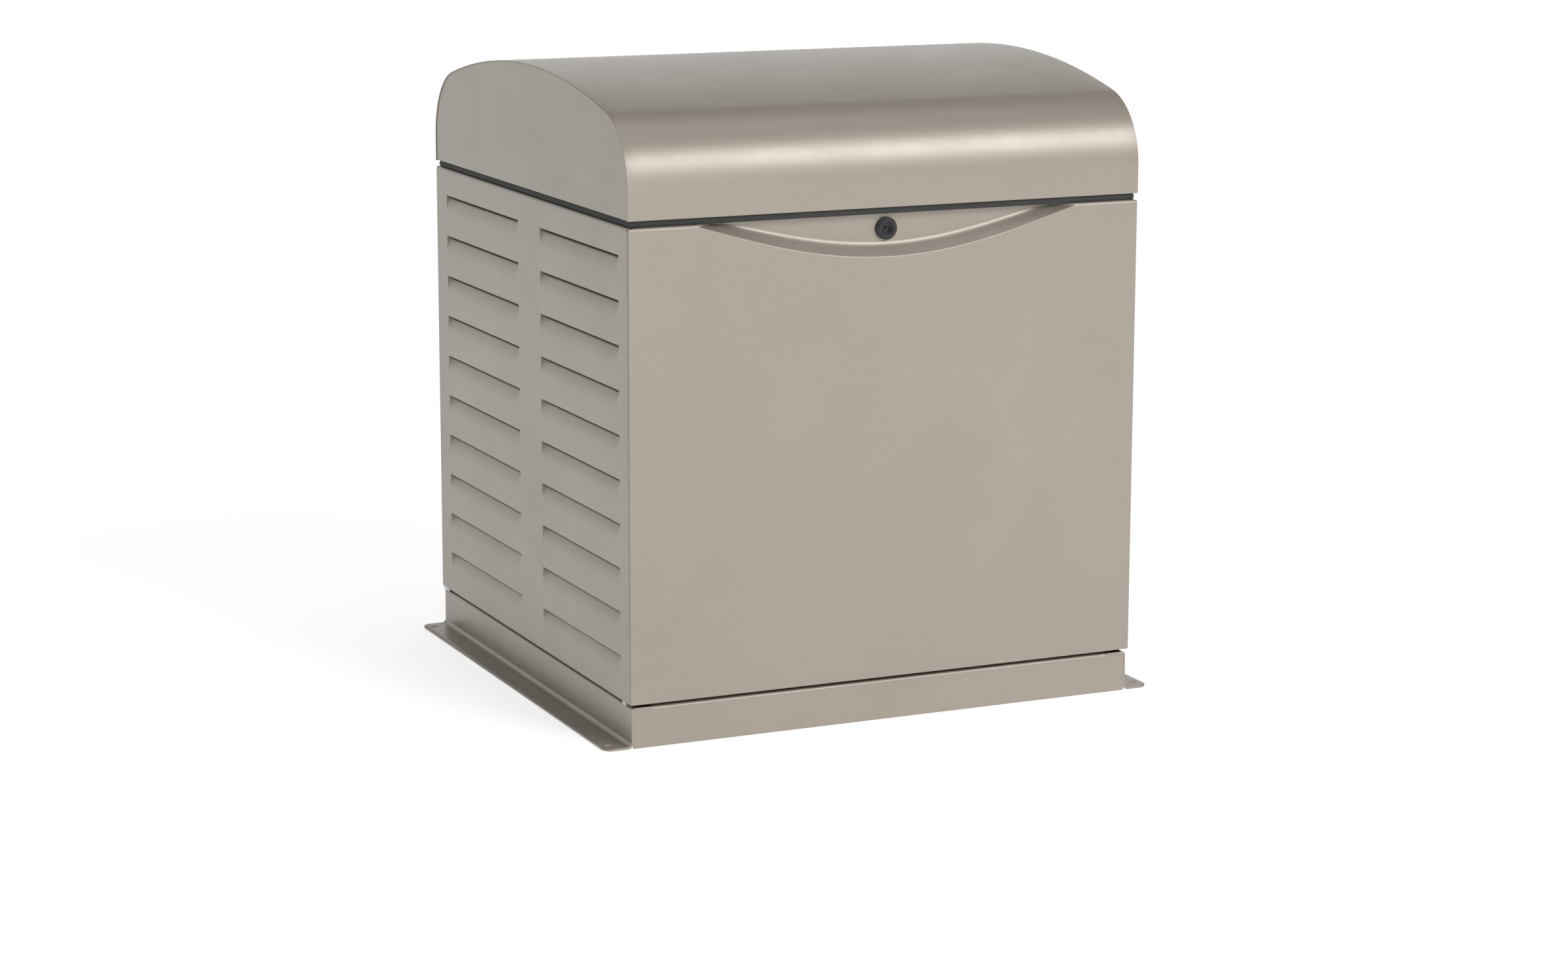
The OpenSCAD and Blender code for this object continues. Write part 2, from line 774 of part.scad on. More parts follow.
module muffler() {
  x = muffler_at[0];
  stub = [x + 30, hw + 9];
  color(steel) difference() {
    union() {
      bar([x, muffler_y[0] + 6, outlet_z], muffler_r, muffler_y[1] - muffler_y[0] - 12, "y");
      bar([x, muffler_y[0], outlet_z], muffler_r - 8, 8, "y");
      bar([x, muffler_y[1] - 8, outlet_z], muffler_r - 8, 8, "y");
      bar([stub[0], outlet_y, outlet_z], 20, stub[1] - stub[0], "x");
    }
    bar([stub[0] + 6, outlet_y, outlet_z], 18.5, 60, "x");
  }
}

bracket_y = [-95, 125];

module muffler_brackets() {
  x = muffler_at[0];
  r = muffler_r;
  color(steel) for (y = bracket_y) {
    pipe([x, y - 10, outlet_z], r + 2, r, 20, "y");
    difference() {
      block([x - 12, y - 10, deck], [x + 12, y + 10, outlet_z - r + 2]);
      block([x - 13, y - 8, deck + 3], [x + 10, y + 8, outlet_z - r - 6]);
      bar([x, y - 11, outlet_z], r + 0.5, 22, "y");
    }
  }
}

// ---------- electrics ----------

battery_at = [60, -338];
battery_size = [238, 129, 200];
tray_z = deck + 3;

module battery() {
  a = [battery_at[0], battery_at[1], tray_z];
  color("dimgray") {
    block(a, a + [battery_size[0], battery_size[1], battery_size[2] - 24]);
    block(a + [-3, -3, battery_size[2] - 24], a + [battery_size[0] + 3, battery_size[1] + 3, battery_size[2]]);
    for (x = [26, battery_size[0] - 26]) translate(a + [x, 26, battery_size[2]])
      cylinder(r1 = 9, r2 = 8, h = 16);
    for (i = [0 : 5]) translate(a + [34 + 34 * i, 88, battery_size[2]]) cylinder(r = 9, h = 4);
  }
}

module battery_hold_down() {
  a = [battery_at[0], battery_at[1], deck];
  y = a[1] + 62;
  top = tray_z + battery_size[2];
  color(steel) {
    block([a[0] - 18, a[1] - 6, deck], [a[0] + battery_size[0] + 18, a[1] + battery_size[1] + 6, tray_z]);
    for (x = [a[0] - 11, a[0] + battery_size[0] + 11]) {
      bar([x, y, deck + 1], 4, top - deck + 10);
      bar([x, y, top + 4], 7, 5, "z", 6);
    }
    block([a[0] - 18, y - 9, top + 1], [a[0] + battery_size[0] + 18, y + 9, top + 4]);
  }
}

box_y = [post_front_y + 8, -255];
controller_x = [-330, -90];
control_z = [rail_z[1], 640];
breaker_x = [225, 335];

module controller_box() {
  color(black) difference() {
    block([controller_x[0], box_y[0], control_z[0]], [controller_x[1], box_y[1], control_z[1]]);
    block([controller_x[0] + 3, box_y[0] - 1, control_z[0] + 3],
      [controller_x[1] - 3, box_y[1] - 3, control_z[1] - 3]);
  }
}

face_t = 4;
switch_at = [-270, 530];
key_at = [-215, 530];
axle_r = 1.5;

module controller_face() {
  y = box_y[0];
  color("gainsboro") difference() {
    union() {
      block([controller_x[0], y - face_t, control_z[0] + 2], [controller_x[1], y, control_z[1]]);
      block([-200, y - face_t - 2, 560], [-110, y - face_t + e, 620]);
    }
    block([-193, y - face_t - 3, 567], [-117, y - face_t + 1, 613]);
    block([switch_at[0] - 12.5, y - face_t - 1, switch_at[1] - 17.5],
      [switch_at[0] + 12.5, y + 1, switch_at[1] + 17.5]);
    bar([switch_at[0] - 15.5, y - 2, switch_at[1]], axle_r + running, 31, "x");
    bar([key_at[0], y - face_t - 1, key_at[1]], 8 + running, face_t + 2, "y");
  }
}

// The rocker of the run, off and auto switch
module run_switch() {
  y = box_y[0];
  color(black) {
    bar([switch_at[0] - 15, y - 2, switch_at[1]], axle_r, 30, "x");
    block([switch_at[0] - 11, y - 8, switch_at[1] - 13], [switch_at[0] + 11, y - 1, switch_at[1] + 13]);
  }
}

module menu_key() {
  y = box_y[0];
  color("limegreen") {
    bar([key_at[0], y - face_t - 3.5, key_at[1]], 8, face_t + 6, "y");
    bar([key_at[0], y + 0.4, key_at[1]], 10, 2, "y");
  }
}

toggle_at = [280, 560];

module breaker_box() {
  y = box_y[0];
  slot = [9, 22];
  color("dimgray") difference() {
    union() {
      block([breaker_x[0], y, control_z[0]], [breaker_x[1], box_y[1], control_z[1]]);
      block([toggle_at[0] - 24, y - 4, toggle_at[1] - 46], [toggle_at[0] + 24, y + e, toggle_at[1] + 46]);
    }
    block([toggle_at[0] - slot[0], y - 5, toggle_at[1] - slot[1]],
      [toggle_at[0] + slot[0], y + 26, toggle_at[1] + slot[1]]);
    bar([toggle_at[0] - 15, y + 14, toggle_at[1]], 4 + running, 30, "x");
  }
}

module breaker_toggle() {
  y = box_y[0];
  color(black) {
    bar([toggle_at[0] - 14.5, y + 14, toggle_at[1]], 4, 29, "x");
    translate([toggle_at[0], y + 14, toggle_at[1]]) rotate([-22, 0, 0]) {
      bar([-7.5, 0, 0], 8, 15, "x");
      block([-7.5, -24, -4], [7.5, 0, 4]);
    }
  }
}

module conduit_hub() {
  color(steel) difference() {
    union() {
      bar([conduit_x, in_d - 12, service_z], 19.5, 22, "y");
      bar([conduit_x, hd, service_z], 27, 4, "y");
      bar([conduit_x, in_d - 7, service_z], 26, 7, "y", 8);
    }
    bar([conduit_x, in_d - 20, service_z], 16, 40, "y");
  }
}

// The output cable from the breaker, down the right side and along the floor to the conduit hub
module power_cable() {
  color(black) hose([
    [310, box_y[1] + stand_off, 540], [310, -240, 540], [310, -228, 538], [320, -204, 505],
    [326, -195, 400], [326, -190, 250],
    [324, -175, 130], [322, -130, 72], [322, 0, 67], [318, 160, 67], [285, 275, 74], [256, 318, 104],
    [conduit_x, 338, service_z], [conduit_x, 348, service_z], [conduit_x, in_d - 14, service_z]
  ], 9, 5, 10);
}

// ---------- front panel ----------

recess_half = 290;
recess_end = 310;
recess_n = 31;
tip_rise = 0.25;

// A rise from z0 to z1 that flattens towards the tips, then carries on at an even slope
function flare(x, z0, z1, half, power) =
  let (at = min(abs(x), half - 12), u = at / half)
    z0 + (z1 - z0) * (1 - pow(1 - u * u, power)) + tip_rise * (abs(x) - at);
// Outer edge of the crescent, and the foot of its slope
function recess_edge(x) = flare(x, recess_z, panel_z1, recess_half, 1.225);
function recess_foot(x) = flare(x, recess_z + 15, panel_z1, recess_half - 20, 1.54);
// Height of the slope at a depth behind the panel's face
function slope_z(x, depth) =
  recess_edge(x) + (recess_foot(x) - recess_edge(x)) * depth / recess_depth;

// The crescent as a solid between two depths, its slope set back by shift
module crescent(d0, d1, shift) {
  n = recess_n;
  top = panel_z1 + 20 + shift;
  xs = [for (i = [0 : n]) recess_end * (2 * i / n - 1)];
  rings = [
    for (x = xs) each [
      [x, d0 - hd, slope_z(x, d0 - shift)], [x, d1 - hd, slope_z(x, d1 - shift)],
      [x, d1 - hd, top], [x, d0 - hd, top]
    ]
  ];
  sides_of = [
    for (i = [0 : n - 1], k = [0 : 3])
      let (m = (k + 1) % 4) [i * 4 + k, (i + 1) * 4 + k, (i + 1) * 4 + m, i * 4 + m]
  ];
  start = [0, 1, 2, 3];
  end = [for (k = [3 : -1 : 0]) n * 4 + k];
  polyhedron(rings, concat(sides_of, [start], [end]), convexity = 4);
}

module panel_front() {
  x = in_w - 0.5;
  y = -hd;
  over = panel_z1 + 2;
  color(paint) difference() {
    union() {
      block([-hw, y, panel_z0], [hw, y + sheet, over]);
      for (s = [0, 1]) mirror([s, 0, 0]) block([x - sheet, y + 0.5, panel_z0], [x, y + return_d, over]);
      block([-x, y + 0.5, panel_z0], [x, y + return_d, panel_z0 + sheet]);
      block([-x, y + 0.5, panel_z1 - sheet], [x, y + return_d, over]);
      for (s = [-1, 1], z = pin_z) bar([s * pin_x, y + 0.5, z], 4, 29.5, "y");
      crescent(sheet / 2, recess_depth + sheet, sheet);
    }
    crescent(-1, recess_depth, 0);
    block([-hw - 1, y - 2, panel_z1], [hw + 1, y + 60, panel_z1 + 30]);
    bar([0, y, lock_z], 11.2, 40, "y");
  }
}

floor_y = -hd + recess_depth;
barrel_r = 7;

module lock_housing() {
  color(black) difference() {
    union() {
      bar([0, floor_y - 5, lock_z], lock_head_r, 5, "y");
      bar([0, floor_y - 6.5, lock_z], lock_head_r - 2.5, 2, "y");
      bar([0, floor_y, lock_z], 11, 22, "y");
      bar([0, floor_y + sheet, lock_z], 15.5, 5, "y", 6);
    }
    bar([0, floor_y - 8, lock_z], barrel_r + running, 40, "y");
  }
}

cam_y = floor_y + 23;
cam_t = 3;
cam_l = 20;

// The barrel turns in the housing, with a key recess in front and the cam behind; the cam points up unlocked
module lock_barrel() {
  color(steel) {
    difference() {
      bar([0, floor_y - 5, lock_z], barrel_r, 5 + cam_y - floor_y, "y");
      bar([0, floor_y - 6, lock_z], 5.2, 7, "y");
    }
    bar([0, floor_y - 3, lock_z], 3.2, 5, "y", 3);
    block([-7, cam_y, lock_z - 9], [7, cam_y + cam_t, lock_z + cam_l]);
    bar([0, cam_y + cam_t - e, lock_z], 5, 4, "y", 6);
  }
}

// ---------- roof ----------

arc_steps = 24;
crown_steps = 36;

// Radius of the crown, tangent to the corner bends
crown_r = (pow(hd - roof_corner_r, 2) + pow(roof_apex - arc_z, 2) - pow(roof_corner_r, 2))
  / (2 * (roof_apex - arc_z - roof_corner_r));
crown_z = roof_apex - crown_r;
crown_a = atan2(hd - roof_corner_r, arc_z - crown_z);

// Half of the roof's outline from the back wall to the apex, moved inwards by t
function roof_half(t, low) = concat(
  [[hd - t, low]],
  [for (i = [0 : arc_steps]) let (a = (90 - crown_a) * i / arc_steps)
    [hd - roof_corner_r + (roof_corner_r - t) * cos(a), arc_z + (roof_corner_r - t) * sin(a)]],
  [for (i = [1 : crown_steps]) let (a = crown_a * (1 - i / crown_steps))
    [(crown_r - t) * sin(a), crown_z + (crown_r - t) * cos(a)]]
);
function across(p) = [for (i = [len(p) - 2 : -1 : 0]) [-p[i][0], p[i][1]]];
function roof_outline(t, low) = let (p = roof_half(t, low)) concat(p, across(p));

// Extrudes an outline drawn in Y and Z along X
module along_x(x0, x1) {
  translate([x0, 0, 0]) rotate([90, 0, 90]) linear_extrude(x1 - x0) children();
}

module roof_shell(t0, t1, low, x0, x1) {
  along_x(x0, x1) difference() {
    polygon(roof_outline(t0, low));
    polygon(roof_outline(t1, low - 10));
  }
}

module roof_skin() {
  x = hw - gable_inset - sheet - return_d + 2;
  color(paint) {
    roof_shell(0, sheet, roof_z0, -hw, hw);
    for (s = [0, 1]) mirror([0, s, 0])
      block([-x, -hd + e, roof_z0], [x, -in_d + return_d - 3, roof_z0 + sheet]);
  }
}

module roof_gables() {
  x = hw - gable_inset;
  color(paint) for (s = [0, 1]) mirror([s, 0, 0]) {
    along_x(x - sheet, x) polygon(roof_outline(sheet, roof_z0));
    block([x - return_d + 2, -in_d, roof_z0], [x - sheet + e, in_d, roof_z0 + sheet]);
  }
}

gasket_w = 14;
gasket_inset = 4;

module roof_gasket() {
  x = hw - gasket_inset;
  y = hd - gasket_inset;
  z = [panel_z1 + 0.3, roof_z0];
  color(black) for (s = [0, 1]) {
    mirror([0, s, 0]) block([-x, -y, z[0]], [x, -y + gasket_w, z[1]]);
    mirror([s, 0, 0]) block([x - gasket_w, -y + gasket_w, z[0]], [x, y - gasket_w, z[1]]);
  }
}

module roof_foam() {
  x = hw - gable_inset - sheet;
  color(foam) difference() {
    roof_shell(sheet, sheet + roof_foam_t, arc_z - 10, -x, x);
    block([-hw, -hd, roof_z0 - 10], [hw, hd, arc_z - 5]);
  }
}

prop_pivot = [51, 715];
prop_l = 404;
prop_r = 4;
eye_w = 10;
stow_y = -280;

// The striker that the latch's cam turns over
module striker() {
  x = [12.5, 26];
  web_y = cam_y - 6;
  lip_z = lock_z - 10.5;
  block([x[0], -in_d, roof_z0 + sheet], [x[1], web_y + 2, roof_z0 + sheet + 2]);
  block([x[0], web_y, lip_z], [x[1], web_y + 2, roof_z0 + sheet + 2]);
  block([x[0], web_y, lip_z], [x[1], cam_y + cam_t + 4, lip_z + 2]);
}

// The headed stud that the prop rod turns on, and the clip that holds the rod up
module prop_stud() {
  x = -hw + gable_inset + sheet;
  bar([x, prop_pivot[0], prop_pivot[1]], 10, 4, "x");
  bar([x, prop_pivot[0], prop_pivot[1]], prop_r, prop_x + eye_w / 2 + 3 - x, "x");
  bar([prop_x + eye_w / 2 + 0.4, prop_pivot[0], prop_pivot[1]], 7, 2.6, "x");
}

module prop_clip() {
  x = -hw + gable_inset + sheet;
  z = prop_pivot[1] + prop_r + 0.5;
  side = prop_r + 0.5;
  y = [stow_y - 8, stow_y + 8];
  block([x, y[0], z], [prop_x + side + 1.5, y[1], z + 2]);
  for (s = [prop_x - side - 1.5, prop_x + side]) block([s, y[0], z - 7], [s + 1.5, y[1], z + e]);
}

// What is fixed to the roof: the striker, two hinge leaves, the prop rod's stud and its clip
module roof_fittings() {
  color(steel) {
    striker();
    prop_stud();
    prop_clip();
    for (x = hinge_x) translate([x, 0, 0]) {
      knuckles(1, hinge_pin_r + running);
      block([-hinge_w / 2, hd, hinge_z + 6.5], [hinge_w / 2, hd + 2, hinge_z + 38]);
    }
  }
}

// The rod lies forwards under the roof and swings down and back to stand on the left panel's catch
module prop_rod() {
  color(steel) difference() {
    union() {
      bar([prop_x - eye_w / 2, prop_pivot[0], prop_pivot[1]], 9, eye_w, "x");
      bar([prop_x, prop_pivot[0] - prop_l, prop_pivot[1]], prop_r, prop_l, "y");
    }
    bar([prop_x - eye_w, prop_pivot[0], prop_pivot[1]], prop_r + running, 2 * eye_w, "x");
  }
}

base_rail_left();
base_rail_right();
base_cross_rails();
base_deck();
corner_posts();
front_cross_rail();
panel_left();
panel_right();
panel_rear();
panel_screws();
rear_foam();
hinge_leaves_lower();
hinge_pins();
engine_skid();
isolators();
crankcase();
cylinder_heads();
valve_covers();
ignition_leads();
blower_housing();
intake_screen();
alternator_housing();
alternator_stator();
alternator_end_bell();
air_cleaner_base();
air_filter();
air_cleaner_cover();
intake_mixer();
fuel_regulator();
fuel_valve();
fuel_lever();
fuel_hoses();
oil_filter();
oil_dipstick();
starter_motor();
exhaust_pipes();
muffler();
muffler_brackets();
battery();
battery_hold_down();
controller_box();
controller_face();
run_switch();
menu_key();
breaker_box();
breaker_toggle();
conduit_hub();
power_cable();
crankshaft();
flywheel_fan();
alternator_rotor();
panel_front();
lock_housing();
lock_barrel();
roof_skin();
roof_gables();
roof_gasket();
roof_foam();
roof_fittings();
prop_rod();
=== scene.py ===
"""A home standby generator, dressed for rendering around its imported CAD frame."""

import logging
import math
from dataclasses import dataclass
from enum import Enum
from typing import Callable, Iterable, Sequence

import bmesh
import bpy
from mathutils import Matrix, Vector


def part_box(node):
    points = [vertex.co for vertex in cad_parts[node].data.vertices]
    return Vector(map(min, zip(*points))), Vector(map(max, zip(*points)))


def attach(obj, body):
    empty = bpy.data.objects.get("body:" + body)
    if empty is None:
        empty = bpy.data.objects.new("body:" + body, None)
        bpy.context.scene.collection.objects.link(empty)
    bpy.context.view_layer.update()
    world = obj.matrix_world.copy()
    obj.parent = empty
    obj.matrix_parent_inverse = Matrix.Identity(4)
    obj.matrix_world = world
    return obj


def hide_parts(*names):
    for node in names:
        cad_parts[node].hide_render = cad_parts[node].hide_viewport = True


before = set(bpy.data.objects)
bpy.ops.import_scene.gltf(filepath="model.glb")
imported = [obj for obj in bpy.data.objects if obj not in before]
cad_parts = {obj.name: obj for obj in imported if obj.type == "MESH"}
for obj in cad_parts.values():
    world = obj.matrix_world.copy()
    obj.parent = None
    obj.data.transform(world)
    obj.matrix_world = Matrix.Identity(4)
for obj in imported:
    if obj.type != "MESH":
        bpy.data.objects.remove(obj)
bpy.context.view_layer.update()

LOG = logging.getLogger("generator")
MM = 0.001

Point = tuple[float, float, float]
Colour = tuple[float, float, float]
Grid = list[list[Point | None]]


# ---------------------------------------------------------------- shader maths


class Signal:
    """A number socket of a node tree that takes part in arithmetic."""

    def __init__(self, tree: bpy.types.NodeTree, socket: bpy.types.NodeSocket) -> None:
        """Wraps a socket.

        Args:
            tree: the node tree that new Math nodes are added to.
            socket: the output socket that carries the number.
        """
        self.tree = tree
        self.socket = socket

    def _math(self, operation: str, *values: "Signal | float") -> "Signal":
        """Adds one Math node.

        Args:
            operation: the Math node's operation.
            values: its inputs in order.

        Returns:
            The node's result.
        """
        node = self.tree.nodes.new("ShaderNodeMath")
        node.operation = operation
        for slot, value in zip(node.inputs, values):
            if isinstance(value, Signal):
                self.tree.links.new(value.socket, slot)
            else:
                slot.default_value = value
        return Signal(self.tree, node.outputs[0])

    def __add__(self, other: "Signal | float") -> "Signal":
        """Sum."""
        return self._math("ADD", self, other)

    __radd__ = __add__

    def __sub__(self, other: "Signal | float") -> "Signal":
        """Difference."""
        return self._math("SUBTRACT", self, other)

    def __rsub__(self, other: float) -> "Signal":
        """Difference from a plain number."""
        return self._math("SUBTRACT", other, self)

    def __mul__(self, other: "Signal | float") -> "Signal":
        """Product."""
        return self._math("MULTIPLY", self, other)

    __rmul__ = __mul__

    def above(self, limit: float) -> "Signal":
        """1 where the number is above the limit, else 0."""
        return self._math("GREATER_THAN", self, limit)


class Recipe:
    """One material's node tree."""

    def __init__(self, name: str) -> None:
        """Starts a material with a Principled surface.

        Args:
            name: the material's name.
        """
        self.material = bpy.data.materials.new(name)
        self.material.use_nodes = True
        self.tree = self.material.node_tree
        self.surface = self.tree.nodes["Principled BSDF"]
        self.place = self.node("ShaderNodeTexCoord").outputs["Object"]

    def node(
        self,
        kind: str,
        settings: dict | None = None,
        inputs: dict | None = None,
    ) -> bpy.types.Node:
        """Adds a node of any type.

        Args:
            kind: the node's type.
            settings: its properties; "stops" sets a colour ramp's stops.
            inputs: socket identifiers or names, with a value, socket or Signal.

        Returns:
            The node.
        """
        node = self.tree.nodes.new(kind)
        for key, value in (settings or {}).items():
            if key == "stops":
                self._set_stops(node.color_ramp, value)
            else:
                setattr(node, key, value)
        for key, value in (inputs or {}).items():
            self.feed(self._find(node, key), value)
        return node

    @staticmethod
    def _set_stops(ramp: bpy.types.ColorRamp, stops: Sequence[tuple]) -> None:
        """Sets a ramp's stops.

        Args:
            ramp: the colour ramp.
            stops: (position, grey level or colour) pairs.
        """
        while len(ramp.elements) < len(stops):
            ramp.elements.new(1.0)
        for element, (position, level) in zip(ramp.elements, stops):
            element.position = position
            tone = (level,) * 3 if isinstance(level, (int, float)) else level
            element.color = (*tone, 1.0)

    @staticmethod
    def _find(node: bpy.types.Node, key: str) -> bpy.types.NodeSocket:
        """Finds an input socket.

        Args:
            node: the node.
            key: the socket's identifier or name.

        Returns:
            The socket.
        """
        for socket in node.inputs:
            if socket.identifier == key:
                return socket
        return node.inputs[key]

    def feed(self, socket: bpy.types.NodeSocket, value: object) -> None:
        """Links or sets one input socket.

        Args:
            socket: the input.
            value: a Signal, a socket or a plain value.
        """
        if isinstance(value, Signal):
            self.tree.links.new(value.socket, socket)
        elif isinstance(value, bpy.types.NodeSocket):
            self.tree.links.new(value, socket)
        elif isinstance(value, tuple) and len(value) == 3 and socket.type == "RGBA":
            socket.default_value = (*value, 1.0)
        else:
            socket.default_value = value

    def signal(self, socket: bpy.types.NodeSocket) -> Signal:
        """Wraps an output socket for arithmetic."""
        return Signal(self.tree, socket)

    def stretched(self, scale: Point) -> bpy.types.NodeSocket:
        """The place on the object, scaled along each axis."""
        return self.node("ShaderNodeMapping", None, {"Vector": self.place, "Scale": scale}).outputs[0]

    def noise(self, scale: float, detail: float = 2.0, stretch: Point = (1, 1, 1)) -> Signal:
        """Smooth noise from 0 to 1.

        Args:
            scale: waves per metre.
            detail: how many finer octaves are added.
            stretch: a scale for each axis.

        Returns:
            The noise's value.
        """
        place = self.place if stretch == (1, 1, 1) else self.stretched(stretch)
        node = self.node(
            "ShaderNodeTexNoise", None, {"Vector": place, "Scale": scale, "Detail": detail}
        )
        return self.signal(node.outputs[0])

    def cells(self, scale: float, feature: str = "F1") -> Signal:
        """The distance to scattered points, as in foam or zinc spangle."""
        node = self.node("ShaderNodeTexVoronoi", {"feature": feature}, {"Vector": self.place, "Scale": scale})
        return self.signal(node.outputs["Distance"])

    def mixed(self, factor: Signal | float, low: object, high: object) -> bpy.types.NodeSocket:
        """A colour between two others.

        Args:
            factor: 0 for the first colour, 1 for the second.
            low: the first colour.
            high: the second colour.

        Returns:
            The colour.
        """
        node = self.node(
            "ShaderNodeMix",
            {"data_type": "RGBA"},
            {"Factor_Float": factor, "A_Color": low, "B_Color": high},
        )
        return node.outputs["Result_Color"] if "Result_Color" in node.outputs else node.outputs[2]

    def remap(self, value: Signal, low: float, high: float, to_low: float, to_high: float) -> Signal:
        """Stretches a range of numbers onto another and clamps it.

        Args:
            value: the number.
            low: the lowest that it takes.
            high: the highest that it takes.
            to_low: what the lowest becomes.
            to_high: what the highest becomes.

        Returns:
            The new number.
        """
        node = self.node(
            "ShaderNodeMapRange",
            None,
            {"Value": value, "From Min": low, "From Max": high, "To Min": to_low, "To Max": to_high},
        )
        return self.signal(node.outputs[0])

    def bumps(self, layers: Iterable[tuple[Signal, float]]) -> None:
        """Chains bump layers into the surface's normal.

        Args:
            layers: (height, depth in metres) pairs.
        """
        normal = None
        for height, depth in layers:
            inputs = {"Height": height, "Distance": depth, "Strength": 1.0}
            if normal is not None:
                inputs["Normal"] = normal
            normal = self.node("ShaderNodeBump", None, inputs).outputs["Normal"]
        if normal is not None:
            self.feed(self.surface.inputs["Normal"], normal)

    def set(self, **values: object) -> None:
        """Sets the surface's own sockets, such as base_color or coat_weight."""
        for key, value in values.items():
            self.feed(self.surface.inputs[key.replace("_", " ").title().replace("Ior", "IOR")], value)


# ---------------------------------------------------------------- finishes


def srgb(red: int, green: int, blue: int) -> Colour:
    """A display colour from 0 to 255 as linear light.

    Args:
        red: the red level.
        green: the green level.
        blue: the blue level.

    Returns:
        The three linear channels.
    """

    def linear(level: int) -> float:
        """One channel as linear light."""
        part = level / 255
        return part / 12.92 if part <= 0.04045 else ((part + 0.055) / 1.055) ** 2.4

    return linear(red), linear(green), linear(blue)


class Grain(Enum):
    """The fine relief of a surface."""

    ORANGE_PEEL = "orange peel"
    MOULDED = "moulded"
    CAST = "cast"
    BRUSHED_X = "brushed along X"
    BRUSHED_Z = "brushed along Z"
    RUBBER = "rubber"
    FOAM = "foam"
    SPANGLE = "spangle"
    PAPER = "paper"
    WINDINGS = "windings"


@dataclass(frozen=True)
class Finish:
    """A surface finish: its colours, its gloss and its fine relief."""

    name: str
    colour: Colour
    shade: Colour
    roughness: float
    grain: Grain
    metallic: float = 0.0
    coat: float = 0.0
    spread: float = 0.06
    relief: float = 1.0

    def make(self) -> bpy.types.Material:
        """Builds the material.

        Returns:
            The finished material.
        """
        recipe = Recipe(self.name)
        patches = recipe.noise(9.0, 3.0)
        fine = recipe.noise(120.0, 3.0)
        blend = recipe.remap(patches * 0.6 + fine * 0.4, 0.3, 0.7, 0.0, 1.0)
        tone, layers, gloss = self._relief(recipe, blend)
        recipe.set(
            base_color=recipe.mixed(tone, self.colour, self.shade),
            roughness=gloss,
            metallic=self.metallic,
            coat_weight=self.coat,
        )
        recipe.surface.inputs["Coat Roughness"].default_value = 0.25
        recipe.bumps([(height, depth * self.relief) for height, depth in layers])
        return recipe.material

    def _relief(self, recipe: Recipe, blend: Signal) -> tuple[Signal, list, Signal]:
        """The tone, the bump layers and the roughness of this grain.

        Args:
            recipe: the material being made.
            blend: broad patches from 0 to 1.

        Returns:
            The tone between the two colours, (height, depth) layers, and the roughness.
        """
        rough = self.roughness - self.spread / 2 + blend * self.spread
        match self.grain:
            case Grain.ORANGE_PEEL:
                peel = recipe.noise(420.0, 1.0)
                specks = recipe.noise(1600.0, 2.0)
                return blend * 0.7 + peel * 0.3, [(peel, 2.2e-5), (specks, 5e-6)], rough
            case Grain.MOULDED:
                pits = recipe.cells(900.0)
                return blend, [(pits, 3.5e-5), (recipe.noise(60.0, 2.0), 6e-5)], rough + pits * 0.08
            case Grain.CAST:
                sand = recipe.noise(700.0, 4.0)
                lumps = recipe.noise(150.0, 2.0)
                return blend * 0.5 + sand * 0.5, [(sand, 7e-5), (lumps, 9e-5)], rough + sand * 0.15
            case Grain.BRUSHED_X | Grain.BRUSHED_Z:
                along = (0.03, 1, 1) if self.grain is Grain.BRUSHED_X else (1, 1, 0.03)
                lines = recipe.noise(900.0, 3.0, along)
                return lines * 0.6 + blend * 0.4, [(lines, 1.2e-5)], rough + (lines - 0.5) * 0.2
            case Grain.RUBBER:
                skin = recipe.noise(500.0, 3.0)
                return blend, [(skin, 3e-5)], rough + skin * 0.05
            case Grain.FOAM:
                holes = recipe.cells(420.0)
                return holes.above(0.35) * 0.6 + blend * 0.4, [(holes, 5e-4)], rough
            case Grain.SPANGLE:
                flakes = recipe.cells(110.0)
                return flakes * 1.1 + blend * 0.2, [(recipe.noise(300.0, 2.0), 1e-5)], rough + flakes * 0.12
            case Grain.PAPER:
                fibres = recipe.noise(800.0, 4.0)
                return blend * 0.5 + fibres * 0.5, [(fibres, 5e-5)], rough
            case Grain.WINDINGS:
                turns = recipe.noise(900.0, 1.0, (1, 0.08, 0.08))
                return turns * 0.8 + blend * 0.2, [(turns, 3e-4)], rough + turns * 0.1


BEIGE = Finish("beige_powder_coat", srgb(158, 150, 139), srgb(153, 145, 134), 0.4, Grain.ORANGE_PEEL,
               metallic=0.3, coat=0.18)
ZINC = Finish("zinc_sheet", (0.42, 0.43, 0.44), (0.6, 0.61, 0.62), 0.36, Grain.SPANGLE, metallic=0.9)
STEEL = Finish("machined_steel", (0.42, 0.43, 0.45), (0.58, 0.58, 0.6), 0.3, Grain.BRUSHED_X, metallic=1.0)
ALUMINISED = Finish("aluminised_steel", (0.3, 0.29, 0.27), (0.46, 0.45, 0.42), 0.5, Grain.SPANGLE,
                    metallic=0.85)
CASTING = Finish("cast_alloy", (0.5, 0.51, 0.52), (0.36, 0.37, 0.38), 0.45, Grain.CAST,
                 metallic=0.75, spread=0.12)
BLACK_PAINT = Finish("black_paint", (0.022, 0.022, 0.024), (0.03, 0.03, 0.032), 0.36, Grain.ORANGE_PEEL,
                     coat=0.3)
BLACK_PLASTIC = Finish("black_plastic", (0.02, 0.02, 0.022), (0.028, 0.028, 0.03), 0.5, Grain.MOULDED)
GREY_PLASTIC = Finish("grey_plastic", (0.5, 0.51, 0.51), (0.45, 0.46, 0.46), 0.45, Grain.MOULDED)
GREEN_PLASTIC = Finish("green_plastic", (0.02, 0.26, 0.05), (0.03, 0.3, 0.07), 0.3, Grain.MOULDED, coat=0.3)
